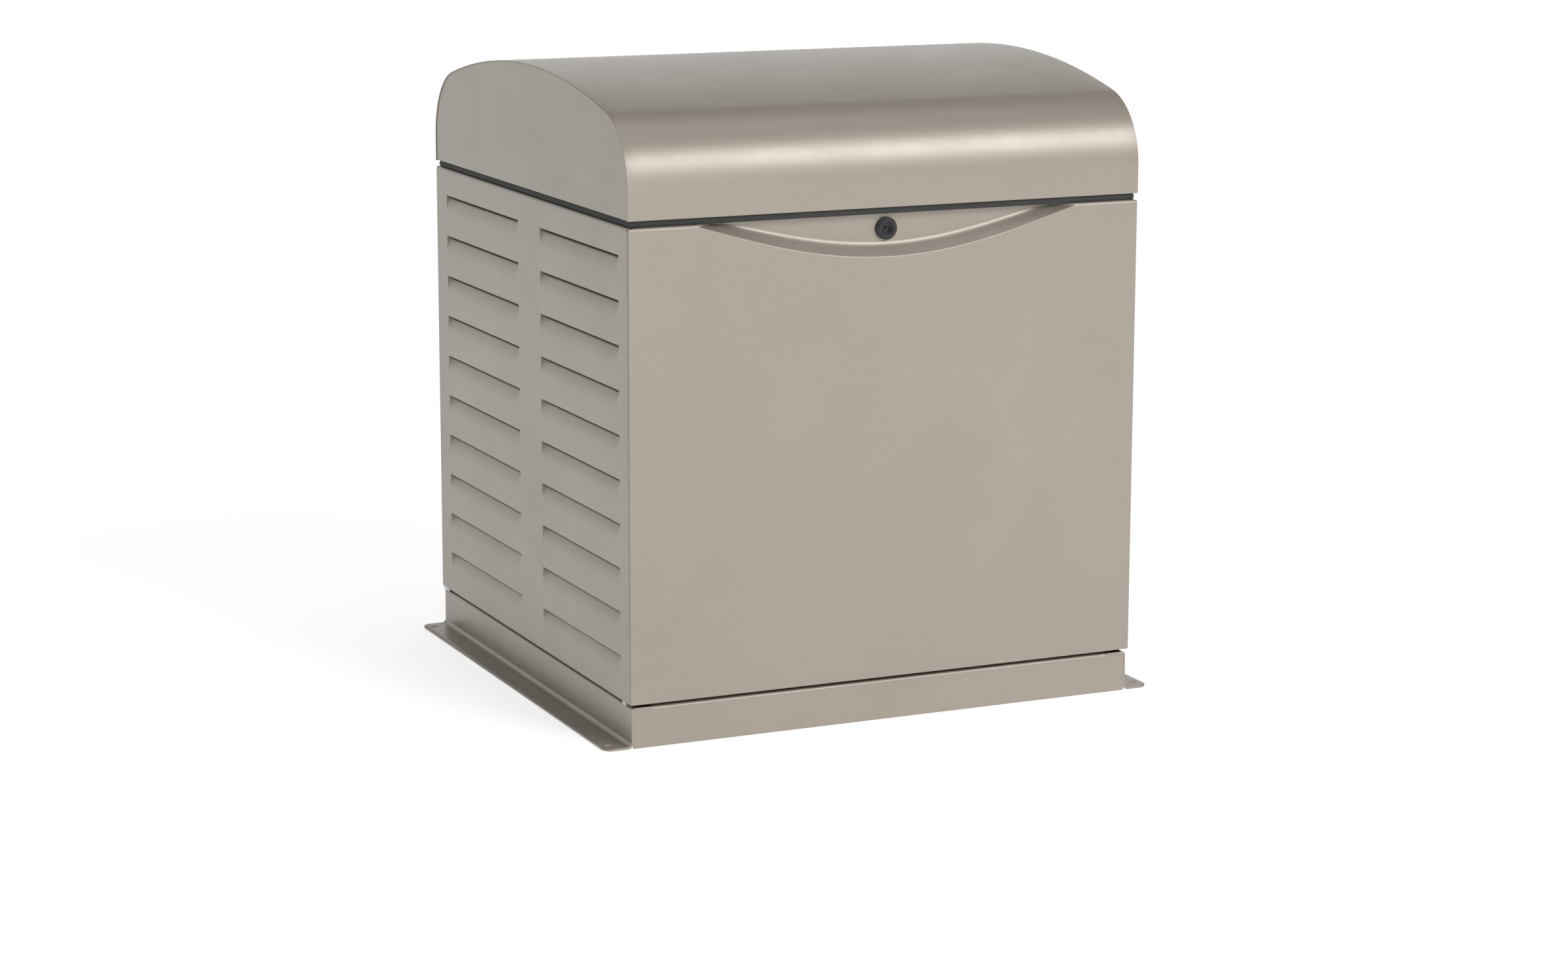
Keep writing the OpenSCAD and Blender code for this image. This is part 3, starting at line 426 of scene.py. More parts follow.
RUBBER = Finish("black_rubber", (0.018, 0.018, 0.018), (0.032, 0.032, 0.031), 0.72, Grain.RUBBER)
FOAM = Finish("acoustic_foam", (0.035, 0.035, 0.037), (0.012, 0.012, 0.013), 0.95, Grain.FOAM)
PAPER = Finish("filter_paper", (0.74, 0.62, 0.4), (0.62, 0.5, 0.3), 0.85, Grain.PAPER)
COPPER = Finish("copper_windings", (0.6, 0.2, 0.07), (0.26, 0.08, 0.03), 0.35, Grain.WINDINGS, metallic=0.7)
BRASS = Finish("machined_brass", (0.62, 0.44, 0.16), (0.5, 0.34, 0.12), 0.28, Grain.BRUSHED_Z, metallic=1.0)
RED_PAINT = Finish("red_paint", (0.42, 0.02, 0.015), (0.34, 0.018, 0.012), 0.32, Grain.ORANGE_PEEL, coat=0.4)
ENAMEL = Finish("filter_enamel", (0.09, 0.1, 0.12), (0.07, 0.08, 0.1), 0.3, Grain.ORANGE_PEEL, coat=0.4)
GLASS = Finish("display_glass", (0.008, 0.012, 0.012), (0.012, 0.017, 0.016), 0.08, Grain.ORANGE_PEEL,
               coat=1.0, spread=0.02, relief=0.1)
LAMP_GREEN = Finish("lamp_green", (0.03, 0.5, 0.08), (0.04, 0.6, 0.1), 0.15, Grain.MOULDED,
                    coat=0.8, relief=0.1)
LAMP_AMBER = Finish("lamp_amber", (0.6, 0.26, 0.02), (0.7, 0.32, 0.03), 0.15, Grain.MOULDED,
                    coat=0.8, relief=0.1)
LOCK_BLACK = Finish("latch_black", (0.012, 0.012, 0.012), (0.02, 0.02, 0.02), 0.38, Grain.CAST, relief=0.3)

CARRIED: dict[Finish, tuple[str, ...]] = {
    BEIGE: ("base_deck", "panel_rear"),
    ZINC: ("corner_posts", "front_cross_rail", "panel_screws", "muffler_brackets", "battery_hold_down",
           "conduit_hub", "roof_fittings", "prop_rod"),
    STEEL: ("hinge_leaves_lower", "hinge_pins", "intake_screen", "crankshaft"),
    FOAM: ("rear_foam", "roof_foam"),
    BLACK_PAINT: ("engine_skid", "valve_covers", "starter_motor"),
    RUBBER: ("isolators", "ignition_leads"),
    CASTING: ("crankcase", "cylinder_heads", "alternator_housing", "alternator_end_bell", "intake_mixer",
              "fuel_regulator", "flywheel_fan"),
    BLACK_PLASTIC: ("blower_housing", "air_cleaner_base", "air_cleaner_cover", "battery", "controller_box",
                    "run_switch", "breaker_box"),
    COPPER: ("alternator_stator", "alternator_rotor"),
    BRASS: ("fuel_valve",),
    RED_PAINT: ("fuel_lever",),
    ENAMEL: ("oil_filter",),
    GREEN_PLASTIC: ("oil_dipstick", "menu_key"),
    ALUMINISED: ("muffler",),
    GREY_PLASTIC: ("controller_face", "breaker_toggle"),
}


class Palette:
    """Makes each finish once and hands it out."""

    def __init__(self) -> None:
        """Starts with no materials made."""
        self._made: dict[str, bpy.types.Material] = {}

    def get(self, finish: Finish) -> bpy.types.Material:
        """The material of a finish, made at its first use.

        Args:
            finish: the finish.

        Returns:
            Its material.
        """
        if finish.name not in self._made:
            self._made[finish.name] = finish.make()
        return self._made[finish.name]

    def dress_carried(self) -> None:
        """Gives every carried CAD node its finish."""
        for finish, nodes in CARRIED.items():
            for name in nodes:
                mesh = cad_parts[name].data
                mesh.materials.clear()
                mesh.materials.append(self.get(finish))


PALETTE = Palette()


# ---------------------------------------------------------------- mesh helpers


def arc(radius: float, start: float, end: float, steps: int) -> list[tuple[float, float]]:
    """Points on an arc about the origin.

    Args:
        radius: the arc's radius.
        start: the first angle, in degrees.
        end: the last angle, in degrees.
        steps: the number of steps between them.

    Returns:
        The points, both ends included.
    """
    angles = [math.radians(start + (end - start) * i / steps) for i in range(steps + 1)]
    return [(radius * math.cos(a), radius * math.sin(a)) for a in angles]


def spaced(low: float, high: float, count: int) -> list[float]:
    """Evenly spaced numbers, both ends included."""
    return [low + (high - low) * i / count for i in range(count + 1)]


class Piece:
    """A mesh object under construction."""

    def __init__(self, name: str) -> None:
        """Starts an empty mesh.

        Args:
            name: the piece's name.
        """
        self.name = name
        self.shape = bmesh.new()
        self.object: bpy.types.Object | None = None

    def skin(self, grid: Grid, skip: Callable[[int, int], bool] | None = None) -> None:
        """Adds a sheet through a grid of points.

        Args:
            grid: rows of points; a point may be None where there is no sheet.
            skip: says whether the cell whose lowest corner is (row, column) is left out.
        """
        made = [[self.shape.verts.new(p) if p is not None else None for p in row] for row in grid]
        for i in range(len(made) - 1):
            for k in range(len(made[i]) - 1):
                corners = [made[i][k], made[i][k + 1], made[i + 1][k + 1], made[i + 1][k]]
                if None in corners or (skip and skip(i, k)):
                    continue
                self.shape.faces.new(corners)

    def sweep(self, rings: Sequence[Sequence[Point]], closed: bool = False, capped: bool = True) -> None:
        """Joins rings of points into a tube.

        Args:
            rings: rings with the same number of points.
            closed: True where the last ring joins the first.
            capped: True where open ends get a face.
        """
        made = [[self.shape.verts.new(p) for p in ring] for ring in rings]
        count = len(made[0])
        pairs = list(zip(made, made[1:])) + ([(made[-1], made[0])] if closed else [])
        for a, b in pairs:
            for k in range(count):
                m = (k + 1) % count
                self.shape.faces.new([a[k], a[m], b[m], b[k]])
        if capped and not closed:
            self.shape.faces.new(list(reversed(made[0])))
            self.shape.faces.new(made[-1])

    def turn(
        self,
        profile: Sequence[tuple[float, float]],
        at: Point,
        axis: str,
        steps: int = 48,
        ring_shaped: bool = False,
    ) -> None:
        """Turns a profile about an axis into a closed solid.

        Args:
            profile: (distance along the axis, radius) pairs, from one end to the other.
            at: the origin of the distances.
            axis: x, y or z.
            steps: segments round the axis.
            ring_shaped: True where the profile closes on itself and leaves a bore.
        """
        rings = []
        for along, radius in profile:
            ring = []
            for i in range(steps):
                angle = math.tau * i / steps
                c, s = radius * math.cos(angle), radius * math.sin(angle)
                offset = {"x": (along, c, s), "y": (s, along, c), "z": (c, s, along)}[axis]
                ring.append(tuple(a + b for a, b in zip(at, offset)))
            rings.append(ring)
        self.sweep(rings, closed=ring_shaped)

    def block(self, low: Point, high: Point) -> None:
        """Adds a box between two corners.

        Args:
            low: its lowest corner.
            high: its highest corner.
        """
        size = [b - a for a, b in zip(low, high)]
        middle = [(a + b) / 2 for a, b in zip(low, high)]
        matrix = Matrix.Translation(middle) @ Matrix.Diagonal((*size, 1.0))
        bmesh.ops.create_cube(self.shape, size=1.0, matrix=matrix)

    def tidy(self, merge: float = 1e-5, face_outward: bool = True) -> None:
        """Merges close points and turns the faces outward.

        Args:
            merge: the distance under which points merge.
            face_outward: False keeps the order the faces were made in.
        """
        bmesh.ops.remove_doubles(self.shape, verts=self.shape.verts, dist=merge)
        flat = [f for f in self.shape.faces if f.calc_area() < 1e-12]
        bmesh.ops.delete(self.shape, geom=flat, context="FACES_ONLY")
        loose = [v for v in self.shape.verts if not v.link_faces]
        bmesh.ops.delete(self.shape, geom=loose, context="VERTS")
        if face_outward:
            bmesh.ops.recalc_face_normals(self.shape, faces=self.shape.faces)

    def face(self, direction: Point) -> None:
        """Turns an open sheet so that it mostly faces a direction.

        Args:
            direction: where its outside looks.
        """
        total = sum((f.normal * f.calc_area() for f in self.shape.faces), Vector())
        if total.dot(Vector(direction)) < 0:
            bmesh.ops.reverse_faces(self.shape, faces=self.shape.faces)

    def finish(
        self,
        finish: Finish,
        body: str,
        slot: str,
        replaces: Sequence[str] = (),
        crease: float = 38.0,
    ) -> bpy.types.Object:
        """Turns the mesh into an object, dresses it and puts it on its body.

        Args:
            finish: the surface finish.
            body: the CAD body it rides on.
            slot: not used.
            replaces: CAD nodes that it stands for.
            crease: the angle above which an edge stays sharp, in degrees.

        Returns:
            The object.
        """
        mesh = bpy.data.meshes.new(self.name)
        self.shape.to_mesh(mesh)
        self.shape.free()
        mesh.shade_smooth()
        mesh.set_sharp_from_angle(angle=math.radians(crease))
        mesh.materials.append(PALETTE.get(finish))
        self.object = bpy.data.objects.new(self.name, mesh)
        bpy.context.scene.collection.objects.link(self.object)
        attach(self.object, body)
        if replaces:
            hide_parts(*replaces)
        LOG.info("%s: %d faces on %s", self.name, len(mesh.polygons), body)
        return self.object


def thicken(obj: bpy.types.Object, thickness: float) -> None:
    """Gives a sheet its thickness, inwards from its outer face.

    Args:
        obj: the sheet.
        thickness: its thickness in metres.
    """
    solid = obj.modifiers.new("thickness", "SOLIDIFY")
    solid.thickness = thickness
    solid.offset = -1.0
    solid.use_even_offset = False
    smooth = obj.modifiers.new("flat_faces", "WEIGHTED_NORMAL")
    smooth.keep_sharp = True


def soften(obj: bpy.types.Object, width: float, steps: int = 2) -> None:
    """Rounds a solid's sharp edges.

    Args:
        obj: the solid.
        width: the bevel's width in metres.
        steps: the bevel's segments.
    """
    bevel = obj.modifiers.new("edges", "BEVEL")
    bevel.width = width
    bevel.segments = steps
    bevel.limit_method = "ANGLE"
    bevel.angle_limit = math.radians(38)
    bevel.harden_normals = False
    smooth = obj.modifiers.new("flat_faces", "WEIGHTED_NORMAL")
    smooth.keep_sharp = True


def carve(obj: bpy.types.Object, holes: Sequence[tuple[Point, float, float, str]]) -> None:
    """Cuts round holes and keeps the result.

    Args:
        obj: the piece, whose modifiers are applied too.
        holes: (start, radius, length, axis) of each hole.
    """
    cutter = Piece("cutter")
    for start, radius, length, axis in holes:
        cutter.turn([(0, radius), (length, radius)], start, axis, 32)
    cutter.tidy()
    mesh = bpy.data.meshes.new("cutter")
    cutter.shape.to_mesh(mesh)
    cutter.shape.free()
    tool = bpy.data.objects.new("cutter", mesh)
    bpy.context.scene.collection.objects.link(tool)
    cut = obj.modifiers.new("holes", "BOOLEAN")
    cut.operation = "DIFFERENCE"
    cut.solver = "EXACT"
    cut.object = tool
    bpy.context.view_layer.update()
    seen = obj.evaluated_get(bpy.context.evaluated_depsgraph_get())
    made = bpy.data.meshes.new_from_object(seen)
    obj.modifiers.clear()
    old = obj.data
    obj.data = made
    made.name = obj.name
    bpy.data.meshes.remove(old)
    bpy.data.objects.remove(tool)
    bpy.data.meshes.remove(mesh)


# ---------------------------------------------------------------- enclosure


@dataclass(frozen=True)
class Shell:
    """Sizes that the enclosure's pieces share, in metres."""

    half: float
    panel_low: float
    panel_high: float
    sheet: float = 1.5 * MM
    lip: float = 18 * MM

    @classmethod
    def from_frame(cls) -> "Shell":
        """Reads the sizes from the CAD nodes."""
        low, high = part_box("panel_front")
        return cls(half=high.x, panel_low=low.z, panel_high=high.z)


class Side(Enum):
    """Which way a panel faces."""

    FRONT = (0, -1)
    REAR = (0, 1)
    LEFT = (-1, 0)
    RIGHT = (1, 0)

    def place(self, across: float, up: float, depth: float, half: float) -> Point:
        """A point of a panel in the shared frame.

        Args:
            across: distance along the panel, along +X or +Y.
            up: height above the ground.
            depth: distance behind the panel's face.
            half: distance of the panel's face from the middle.

        Returns:
            The point.
        """
        nx, ny = self.value
        reach = half - depth
        return (nx * reach if nx else across, ny * reach if ny else across, up)


def bend_rows(radius: float, lip: float, steps: int = 5) -> list[tuple[float, float]]:
    """A folded edge, as (distance past the bend's start, depth) pairs.

    Args:
        radius: the bend's outer radius.
        lip: how deep the fold goes.
        steps: the segments of the bend.

    Returns:
        The pairs after the bend's start, which is at (0, 0).
    """
    turned = [(x, radius - y) for x, y in arc(radius, 90, 0, steps)][1:]
    return turned + [(radius, lip)] if lip > radius else turned


@dataclass(frozen=True)
class Louvre:
    """One pressed louvre: its ends, its slit's height and its shape."""

    start: float
    end: float
    slit: float
    height: float = 27 * MM
    depth: float = 7 * MM
    gap: float = 3.4 * MM
    round_end: float = 16 * MM

    def press(self, across: float, up: float) -> tuple[float, float]:
        """How far the sheet is pressed in and drawn down at a point under the slit.

        Args:
            across: distance along the panel.
            up: height above the ground.

        Returns:
            The depth and the drop, both 0 outside the louvre.
        """
        near = min(across - self.start, self.end - across)
        rise = (up - self.slit + self.height) / self.height
        if near <= 0 or rise <= 0 or rise > 1.0001:
            return 0.0, 0.0
        gone = max(0.0, 1 - near / self.round_end)
        pressed = math.sqrt(max(0.0, 1 - gone * gone)) * rise * rise
        return self.depth * pressed, self.gap * pressed


@dataclass
class LouvredPanel:
    """A side or rear panel: a folded sheet with louvres pressed into it."""

    shell: Shell
    side: Side
    name: str
    across: tuple[float, float]
    louvres: Sequence[Louvre]
    top_bend: float = 4.5 * MM
    low_bend: float = 2.5 * MM
    edge_bend: float = 1.8 * MM
    front_relief: float = 6 * MM

    def columns(self) -> list[float]:
        """Distance across of each column of the grid.

        Returns:
            The distances, in order.
        """
        low, high = self.across
        flat = {low + self.edge_bend, high - self.edge_bend, low + self.front_relief}
        for start, end, turn in {(l.start, l.end, l.round_end) for l in self.louvres}:
            for i in range(9):
                reach = turn * (1 - math.cos(math.pi / 2 * i / 8))
                flat |= {start + reach, end - reach}
            flat |= set(spaced(start + turn, end - turn, 6))
        return [low, *sorted(flat), high]

    def rows(self) -> list[tuple[float, float, bool]]:
        """(height, extra depth, above a slit) of each row of the grid.

        Returns:
            The rows, from the bottom up.
        """
        low = [(self.shell.panel_low + self.low_bend - d, w, False)
               for d, w in reversed(bend_rows(self.low_bend, self.shell.lip, 4))]
        low.append((self.shell.panel_low + self.low_bend, 0.0, False))
        flat: list[tuple[float, float, bool]] = []
        for slit, height in sorted({(l.slit, l.height) for l in self.louvres}):
            flat += [(z, 0.0, False) for z in spaced(slit - height, slit, 8)]
            flat.append((slit, 0.0, True))
        top = [(self.shell.panel_high - self.top_bend, 0.0, False)]
        top += [(self.shell.panel_high - self.top_bend + d, w, False)
                for d, w in bend_rows(self.top_bend, self.shell.lip)]
        return low + flat + top

    def build(self, replaces: str, slot: str, holes: Sequence[tuple[Point, float, float, str]] = ()) -> None:
        """Makes the panel.

        Args:
            replaces: the CAD node it stands for.
            slot: passed on to Piece.finish, which does not use it.
            holes: round holes to cut.
        """
        piece = Piece(self.name)
        columns, rows = self.columns(), self.rows()

        def spot(x: float, z: float, inward: float, raised: bool) -> Point:
            """One point of the pressed sheet.

            Args:
                x: distance across the panel.
                z: height above the ground.
                inward: how deep the fold lies here.
                raised: whether it lies above a slit.

            Returns:
                The point.
            """
            presses = [] if raised else [l.press(x, z) for l in self.louvres]
            depth, drop = (sum(p[i] for p in presses) for i in (0, 1))
            return self.side.place(x, z - drop, inward + depth, self.shell.half)

        grid = [[spot(x, z, fold, raised) for x in columns] for z, fold, raised in rows]
        far = [w > 0.6 * self.shell.lip for _, w, _ in rows]

        def skip(i: int, k: int) -> bool:
            """Leaves out the slits and the corners that the front panel's folds pass.

            Args:
                i: the lower row of the face.
                k: its left column.

            Returns:
                Whether the face is left out.
            """
            if not rows[i][2] and rows[i + 1][2]:
                return True
            past = columns[k + 1] - self.across[0] - 0.1 * MM
            if (far[i] or far[i + 1]) and past < self.front_relief:
                return True
            return (rows[i][1] > 0 or rows[i + 1][1] > 0) and past < self.edge_bend

        piece.skin(grid, skip)
        piece.tidy(face_outward=False)
        piece.face((*self.side.value, 0))
        made = piece.finish(BEIGE, "frame", slot, [replaces], crease=46)
        thicken(made, self.shell.sheet)
        if holes:
            carve(made, holes)


@dataclass
class FrontPanel:
    """The lift-off front panel with the crescent recess round its latch."""

    shell: Shell
    low_edge: float = 634 * MM
    foot_edge: float = 650 * MM
    half_width: float = 290 * MM
    foot_half: float = 268 * MM
    depth: float = 16 * MM
    top_bend: float = 4.5 * MM
    low_bend: float = 2.5 * MM
    edge_bend: float = 1.8 * MM
    corner_relief: float = 6.5 * MM
    hole_half: float = 9 * MM
    hole_row: float = 9.5 * MM
    pin_x: float = 0.358
    pin_heights: tuple[float, float] = (0.095, 0.64)

    def edge(self, x: float) -> float:
        """Height of the recess's outer edge."""
        return self._flare(x, self.low_edge, self.half_width, 1.225)

    def foot(self, x: float) -> float:
        """Height of the foot of the recess's slope."""
        return self._flare(x, self.foot_edge, self.foot_half, 1.54)

    def _flare(self, x: float, low: float, half: float, power: float) -> float:
        """A curve that rises from its middle and flares into the top edge."""
        part = min(1.0, abs(x) / half)
        return low + (self.shell.panel_high - low) * (1 - (1 - part * part) ** power)

    def inset(self, x: float, z: float) -> float:
        """How far the sheet lies behind the panel's face.

        Args:
            x: distance across the panel.
            z: height above the ground.

        Returns:
            The distance behind the face.
        """
        edge, foot = self.edge(x), self.foot(x)
        if foot - edge < 0.5 * MM:
            reach = abs(x) - self.foot_half
            foot = edge + max(0.5 * MM, 7 * MM - reach * 0.2)
        t = (z - edge) / (foot - edge)
        crisp, fillet = 0.05, 0.28
        if t <= -crisp:
            level = 0.0
        elif t < crisp:
            level = (t + crisp) ** 2 / (4 * crisp)
        elif t < 1 - fillet:
            level = t
        elif t < 1 + fillet:
            level = 1 - (1 + fillet - t) ** 2 / (4 * fillet)
        else:
            level = 1.0
        return self.depth * level

    def build(self) -> None:
        """Makes the panel's sheet."""
        piece = Piece("front_panel")
        shell = self.shell
        fold = bend_rows(self.edge_bend, 0.0, 4)
        reach = shell.half - self.edge_bend
        fold_end, relief = shell.half - shell.lip - 2 * MM, shell.half - self.corner_relief
        inner = sorted(set(spaced(-self.half_width, self.half_width, 116))
                       | {side * x for side in (-1, 1) for x in (reach, relief, fold_end, self.hole_half)})
        columns = [(-reach - d, w) for d, w in reversed(fold)] + [(x, 0.0) for x in inner]
        columns += [(reach + d, w) for d, w in fold]
        low = [(shell.panel_low + self.low_bend - d, w)
               for d, w in reversed(bend_rows(self.low_bend, shell.lip, 4))]
        steps = [-0.3, -0.05, -0.02, 0.02, 0.05, 0.25, 0.5, 0.72, 0.8, 0.88, 0.96, 1.04, 1.12, 1.2, 1.28]
        grid: Grid = []
        for z, w in low + [(shell.panel_low + self.low_bend, 0.0), (0.3, 0.0), (0.55, 0.0), (0.615, 0.0)]:
            grid.append([Side.FRONT.place(x, z, w + e, shell.half) for x, e in columns])
        lock_z = (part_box("lock_housing")[0].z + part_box("lock_housing")[1].z) / 2
        slope = self.foot(0.0) - self.edge(0.0)
        hole = [(lock_z + rise - self.edge(0.0)) / slope for rise in (-self.hole_row, self.hole_row)]
        for step in steps + [1.45] + hole:
            row = []
            for x, e in columns:
                edge, foot = self.edge(x), self.foot(x)
                top = shell.panel_high - self.bend_at(x)
                z = min(edge + (max(foot - edge, 2 * MM)) * step, top)
                row.append(Side.FRONT.place(x, z, self.inset(x, z) + e, shell.half))
            grid.append(row)
        grid += self._top_rows(columns)
        far_rows = {0, len(grid) - 2}

        def skip(i: int, k: int) -> bool:
            """Leaves out the hole for the latch and the corner reliefs beside the side panels.

            Args:
                i: the lower row of the face.
                k: its left column.

            Returns:
                Whether the face is left out.
            """
            near = min(abs(grid[i][k][0]), abs(grid[i][k + 1][0]))
            deepest = max(grid[i][k][1], grid[i + 1][k][1], grid[i][k + 1][1], grid[i + 1][k + 1][1])
            if i in far_rows and near > fold_end - 0.1 * MM:
                return True
            if near > relief - 0.1 * MM and deepest > -shell.half + 2.0 * MM:
                return True
            x = (grid[i][k][0] + grid[i][k + 1][0]) / 2
            z = (grid[i][k][2] + grid[i + 1][k][2]) / 2
            return abs(x) < self.hole_half and abs(z - lock_z) < self.hole_half

        piece.skin(grid, skip)
        piece.tidy(face_outward=False)
        piece.face((0, -1, 0))
        made = piece.finish(BEIGE, "front_panel", "paint_beige", ["panel_front"], crease=46)
        thicken(made, shell.sheet)
        self._returns()

    def _returns(self) -> None:
        """Makes the strips behind the side edges and the pins that locate the panel."""
        shell = self.shell
        strips = Piece("front_panel_returns")
        for side in (-1, 1):
            near, far = side * (shell.half - 3.5 * MM), side * (shell.half - 2.0 * MM)
            strips.block((min(near, far), -shell.half + 1.5 * MM, shell.panel_low + 20 * MM),
                         (max(near, far), -shell.half + 18 * MM, shell.panel_high - 60 * MM))
            for z in self.pin_heights:
                strips.turn([(0, 4 * MM), (26 * MM, 4 * MM), (29 * MM, 2.5 * MM)],
                            (side * self.pin_x, -shell.half + 1.2 * MM, z), "y", 24)
        strips.tidy()
        soften(strips.finish(BEIGE, "front_panel", "paint_beige"), 0.3 * MM)

    def bend_at(self, x: float) -> float:
        """Radius of the top bend, which is tighter over the recess."""
        inside = min(1.0, max(0.0, (self.half_width - abs(x)) / (40 * MM)))
        return self.top_bend + (2 * MM - self.top_bend) * inside

    def _top_rows(self, columns: Sequence[tuple[float, float]]) -> Grid:
        """The rows of the top bend and its fold.

        Args:
            columns: the grid's columns.

        Returns:
            The rows.
        """
        shell = self.shell
        rows: Grid = []
        for angle in (0, 18, 36, 54, 72, 90, None):
            row = []
            for x, e in columns:
                radius = self.bend_at(x)
                top = shell.panel_high - radius
                base = self.inset(x, top)
                if angle is None:
                    z, w = shell.panel_high, max(shell.lip, base + radius + 0.4 * MM)
                else:
                    turn = math.radians(angle)
                    z = top + radius * math.sin(turn)
                    w = base + radius * (1 - math.cos(turn))
                row.append(Side.FRONT.place(x, z, w + e, shell.half))
            rows.append(row)
        return rows


@dataclass
class Roof:
    """The hinged roof: a bent skin between two gables."""

    shell: Shell
    corner: float = 100 * MM
    wall: float = 38.5 * MM
    low_bend: float = 2.5 * MM
    gable_inset: float = 1.0 * MM

    def __post_init__(self) -> None:
        """Reads the roof's heights and works out the crown's radius."""
        low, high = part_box("roof_skin")
        self.low = low.z
        self.apex = high.z
        self.spring = self.low + self.wall
        reach, rise = self.shell.half - self.corner, self.apex - self.spring
        self.crown = (reach**2 + rise**2 - self.corner**2) / (2 * (rise - self.corner))
        self.crown_z = self.apex - self.crown
        self.crown_angle = math.degrees(math.atan2(reach, self.spring - self.crown_z))

    def outline(self, inset: float, low: float) -> list[tuple[float, float]]:
        """The roof's outline from the back wall over the crown to the front.

        Args:
            inset: distance inside the outer face.
            low: height of both ends.

        Returns:
            (Y, Z) pairs.
        """
        half = self.shell.half
        corner = [(half - self.corner + y, self.spring + z)
                  for y, z in arc(self.corner - inset, 0, 90 - self.crown_angle, 20)]
        crown = [(y, self.crown_z + z)
                 for y, z in arc(self.crown - inset, 90 - self.crown_angle, 90, 24)][1:]
        back = [(half - inset, low)] + corner + crown
        return back + [(-y, z) for y, z in reversed(back[:-1])]

    def build(self) -> None:
        """Makes the skin and both gables."""
        shell = self.shell
        bend, lip = self.low_bend, 14 * MM
        fold = bend_rows(bend, lip, 4)
        line = self.outline(0, self.low + bend)
        back = [(shell.half - w, self.low + bend - d) for d, w in reversed(fold)]
        front = [(-shell.half + w, self.low + bend - d) for d, w in fold]
        skin = Piece("roof_skin_sheet")
        trimmed = shell.half - 20 * MM
        columns = [-shell.half, -trimmed, trimmed, shell.half]
        profile = back + line + front
        skin.skin(
            [[(x, y, z) for y, z in profile] for x in columns],
            lambda i, k: i != 1 and (k == 0 or k == len(profile) - 2),
        )
        skin.tidy(face_outward=False)
        skin.face((0, 0, 1))
        thicken(skin.finish(BEIGE, "roof", "paint_beige", ["roof_skin"], crease=60), shell.sheet)
        gables = Piece("roof_gable_plates")
        for side in (-1, 1):
            self._gable(gables, side)
        gables.tidy(face_outward=False)
        plates = gables.finish(BEIGE, "roof", "paint_beige", ["roof_gables"], crease=46)
        thicken(plates, shell.sheet)

    def _gable(self, piece: Piece, side: int) -> None:
        """Adds one gable plate with its folded lower edge.

        Args:
            piece: the mesh to add to.
            side: -1 for the left gable, 1 for the right one.
        """
        bend = self.low_bend + 0.5 * MM
        face = self.shell.half - self.gable_inset
        edge = self.outline(self.shell.sheet, self.low + bend)
        corners = [piece.shape.verts.new((side * face, y, z)) for y, z in edge]
        if side > 0:
            corners.reverse()
        piece.shape.faces.new(list(reversed(corners)))
        reach = edge[0][0]
        fold = [(0.0, 0.0)] + bend_rows(bend, 16 * MM)
        rows = [[(side * (face - w), y, self.low + bend - d) for y in (reach, -reach)] for d, w in fold]
        first = len(piece.shape.faces)
        piece.skin(rows)
        piece.shape.faces.ensure_lookup_table()
        for made in list(piece.shape.faces)[first:]:
            made.normal_update()
            away = Vector((side, 0, -0.3))
            if made.normal.dot(away) < 0:
                made.normal_flip()


@dataclass
class Gasket:
    """The rubber seal round the top of the panels."""

    shell: Shell

    def build(self) -> None:
        """Makes the seal as one loop with mitred corners."""
        low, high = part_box("roof_gasket")
        reach, wide = high.x, 14 * MM
        bulge = 1.2 * MM
        mid = (low.z + high.z) / 2
        tall = (high.z - low.z) / 2
        outer = [(-bulge * math.cos(math.radians(a)) + bulge, mid + tall * math.sin(math.radians(a)))
                 for a in (-90, -60, -30, 0, 30, 60, 90)]
        ring = outer + [(wide, high.z), (wide, low.z)]
        loop = [(-1, -1), (1, -1), (1, 1), (-1, 1)]
        piece = Piece("roof_seal")
        rings = [[(sx * (reach - w), sy * (reach - w), z) for w, z in ring] for sx, sy in loop]
        piece.sweep(rings, closed=True)
        piece.tidy()
        piece.finish(RUBBER, "roof", "rubber_black", ["roof_gasket"])


